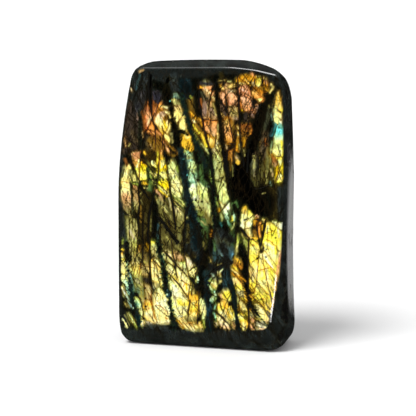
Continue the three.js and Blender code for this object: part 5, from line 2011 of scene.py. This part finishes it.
# %% Lights
def add_light(name, kind, place_mm, **settings):
    """A light that faces the middle of the stone from a place in mm."""
    data = bpy.data.lights.new(name, kind)
    for setting, value in settings.items():
        setattr(data, setting, value)
    light = bpy.data.objects.new(name, data)
    bpy.context.scene.collection.objects.link(light)
    light.location = Vector((np.array(place_mm, float) + to_frame) * MM)
    aim = Vector((inside_point + to_frame) * MM) - light.location
    light.rotation_euler = aim.to_track_quat("-Z", "Y").to_euler()
    light.visible_camera = False
    return light


def from_angles(azimuth, elevation, distance):
    """A place in mm at an angle round the stone. Azimuth 0 is the front, and right is more."""
    turn, rise = math.radians(azimuth), math.radians(elevation)
    flat = distance * math.cos(rise)
    return flat * math.sin(turn), -flat * math.cos(turn), distance * math.sin(rise) + inside_point[2]


key_irradiance = 0.82
key_place = from_angles(-35, 56, 850)
key_energy, key_width = key_irradiance * math.pi, math.radians(30)
key = add_light("key_soft_light", "SUN", key_place, energy=key_energy, angle=key_width)
key.visible_glossy = False


def add_gloss_panel(name, place_mm, size_mm, radiance):
    """A panel that only the polish sees. Its power follows from its radiance."""
    wide, tall = size_mm[0] * MM, size_mm[1] * MM
    energy = radiance * math.pi * wide * tall
    panel = add_light(name, "AREA", place_mm, shape="RECTANGLE", size=wide, size_y=tall, energy=energy)
    panel.visible_diffuse = False
    return panel


# Name, place and size in mm, radiance
gloss_panels = [
    ("right_strip", (64, -63, 13), (9, 26), 18),
    ("high_panel", from_angles(-9.5, 48, 1000), (270, 210), 11),
    ("high_glow", from_angles(-12.5, 48, 1020), (690, 210), 2.2),
]
for panel in gloss_panels:
    add_gloss_panel(*panel)
print("lights:", len(gloss_panels) + 1)

# %% [markdown]
# The world is what the stone mirrors where no panel stands: nearly black near the floor, and
# paler overhead. It also gives an even grey light from all sides, and the camera sees it
# white, like the wall of the studio.

# %% The studio world
ambient, seen_wall = 0.6, 1.0
darkest, palest = 0.008, 0.2
world = bpy.data.worlds.new("studio")
bpy.context.scene.world = world
world.use_nodes = True
sky = world.node_tree
sky.nodes.clear()
direction = add_node(sky, "ShaderNodeTexCoord").outputs["Generated"]
split = add_node(sky, "ShaderNodeSeparateXYZ", {"Vector": direction})
rise_range = {
    "Value": split.outputs["Z"], "From Min": 0.3, "From Max": 0.9, "To Min": darkest, "To Max": palest
}
rise = add_node(sky, "ShaderNodeMapRange", rise_range, interpolation_type="SMOOTHSTEP")
ray = add_node(sky, "ShaderNodeLightPath")
even, mirrored, wall = [
    add_node(sky, "ShaderNodeBackground", {"Color": (1, 1, 1, 1), "Strength": strength}).outputs[0]
    for strength in (ambient, rise.outputs["Result"], seen_wall)
]
lit = add_node(sky, "ShaderNodeMixShader", {0: ray.outputs["Is Glossy Ray"], 1: even, 2: mirrored})
seen = add_node(sky, "ShaderNodeMixShader", {0: ray.outputs["Is Camera Ray"], 1: lit.outputs[0], 2: wall})
add_node(sky, "ShaderNodeOutputWorld", {"Surface": seen.outputs[0]})
bpy.context.scene.view_settings.view_transform = "Standard"
bpy.context.scene.view_settings.look = "None"
print("world nodes:", len(sky.nodes))
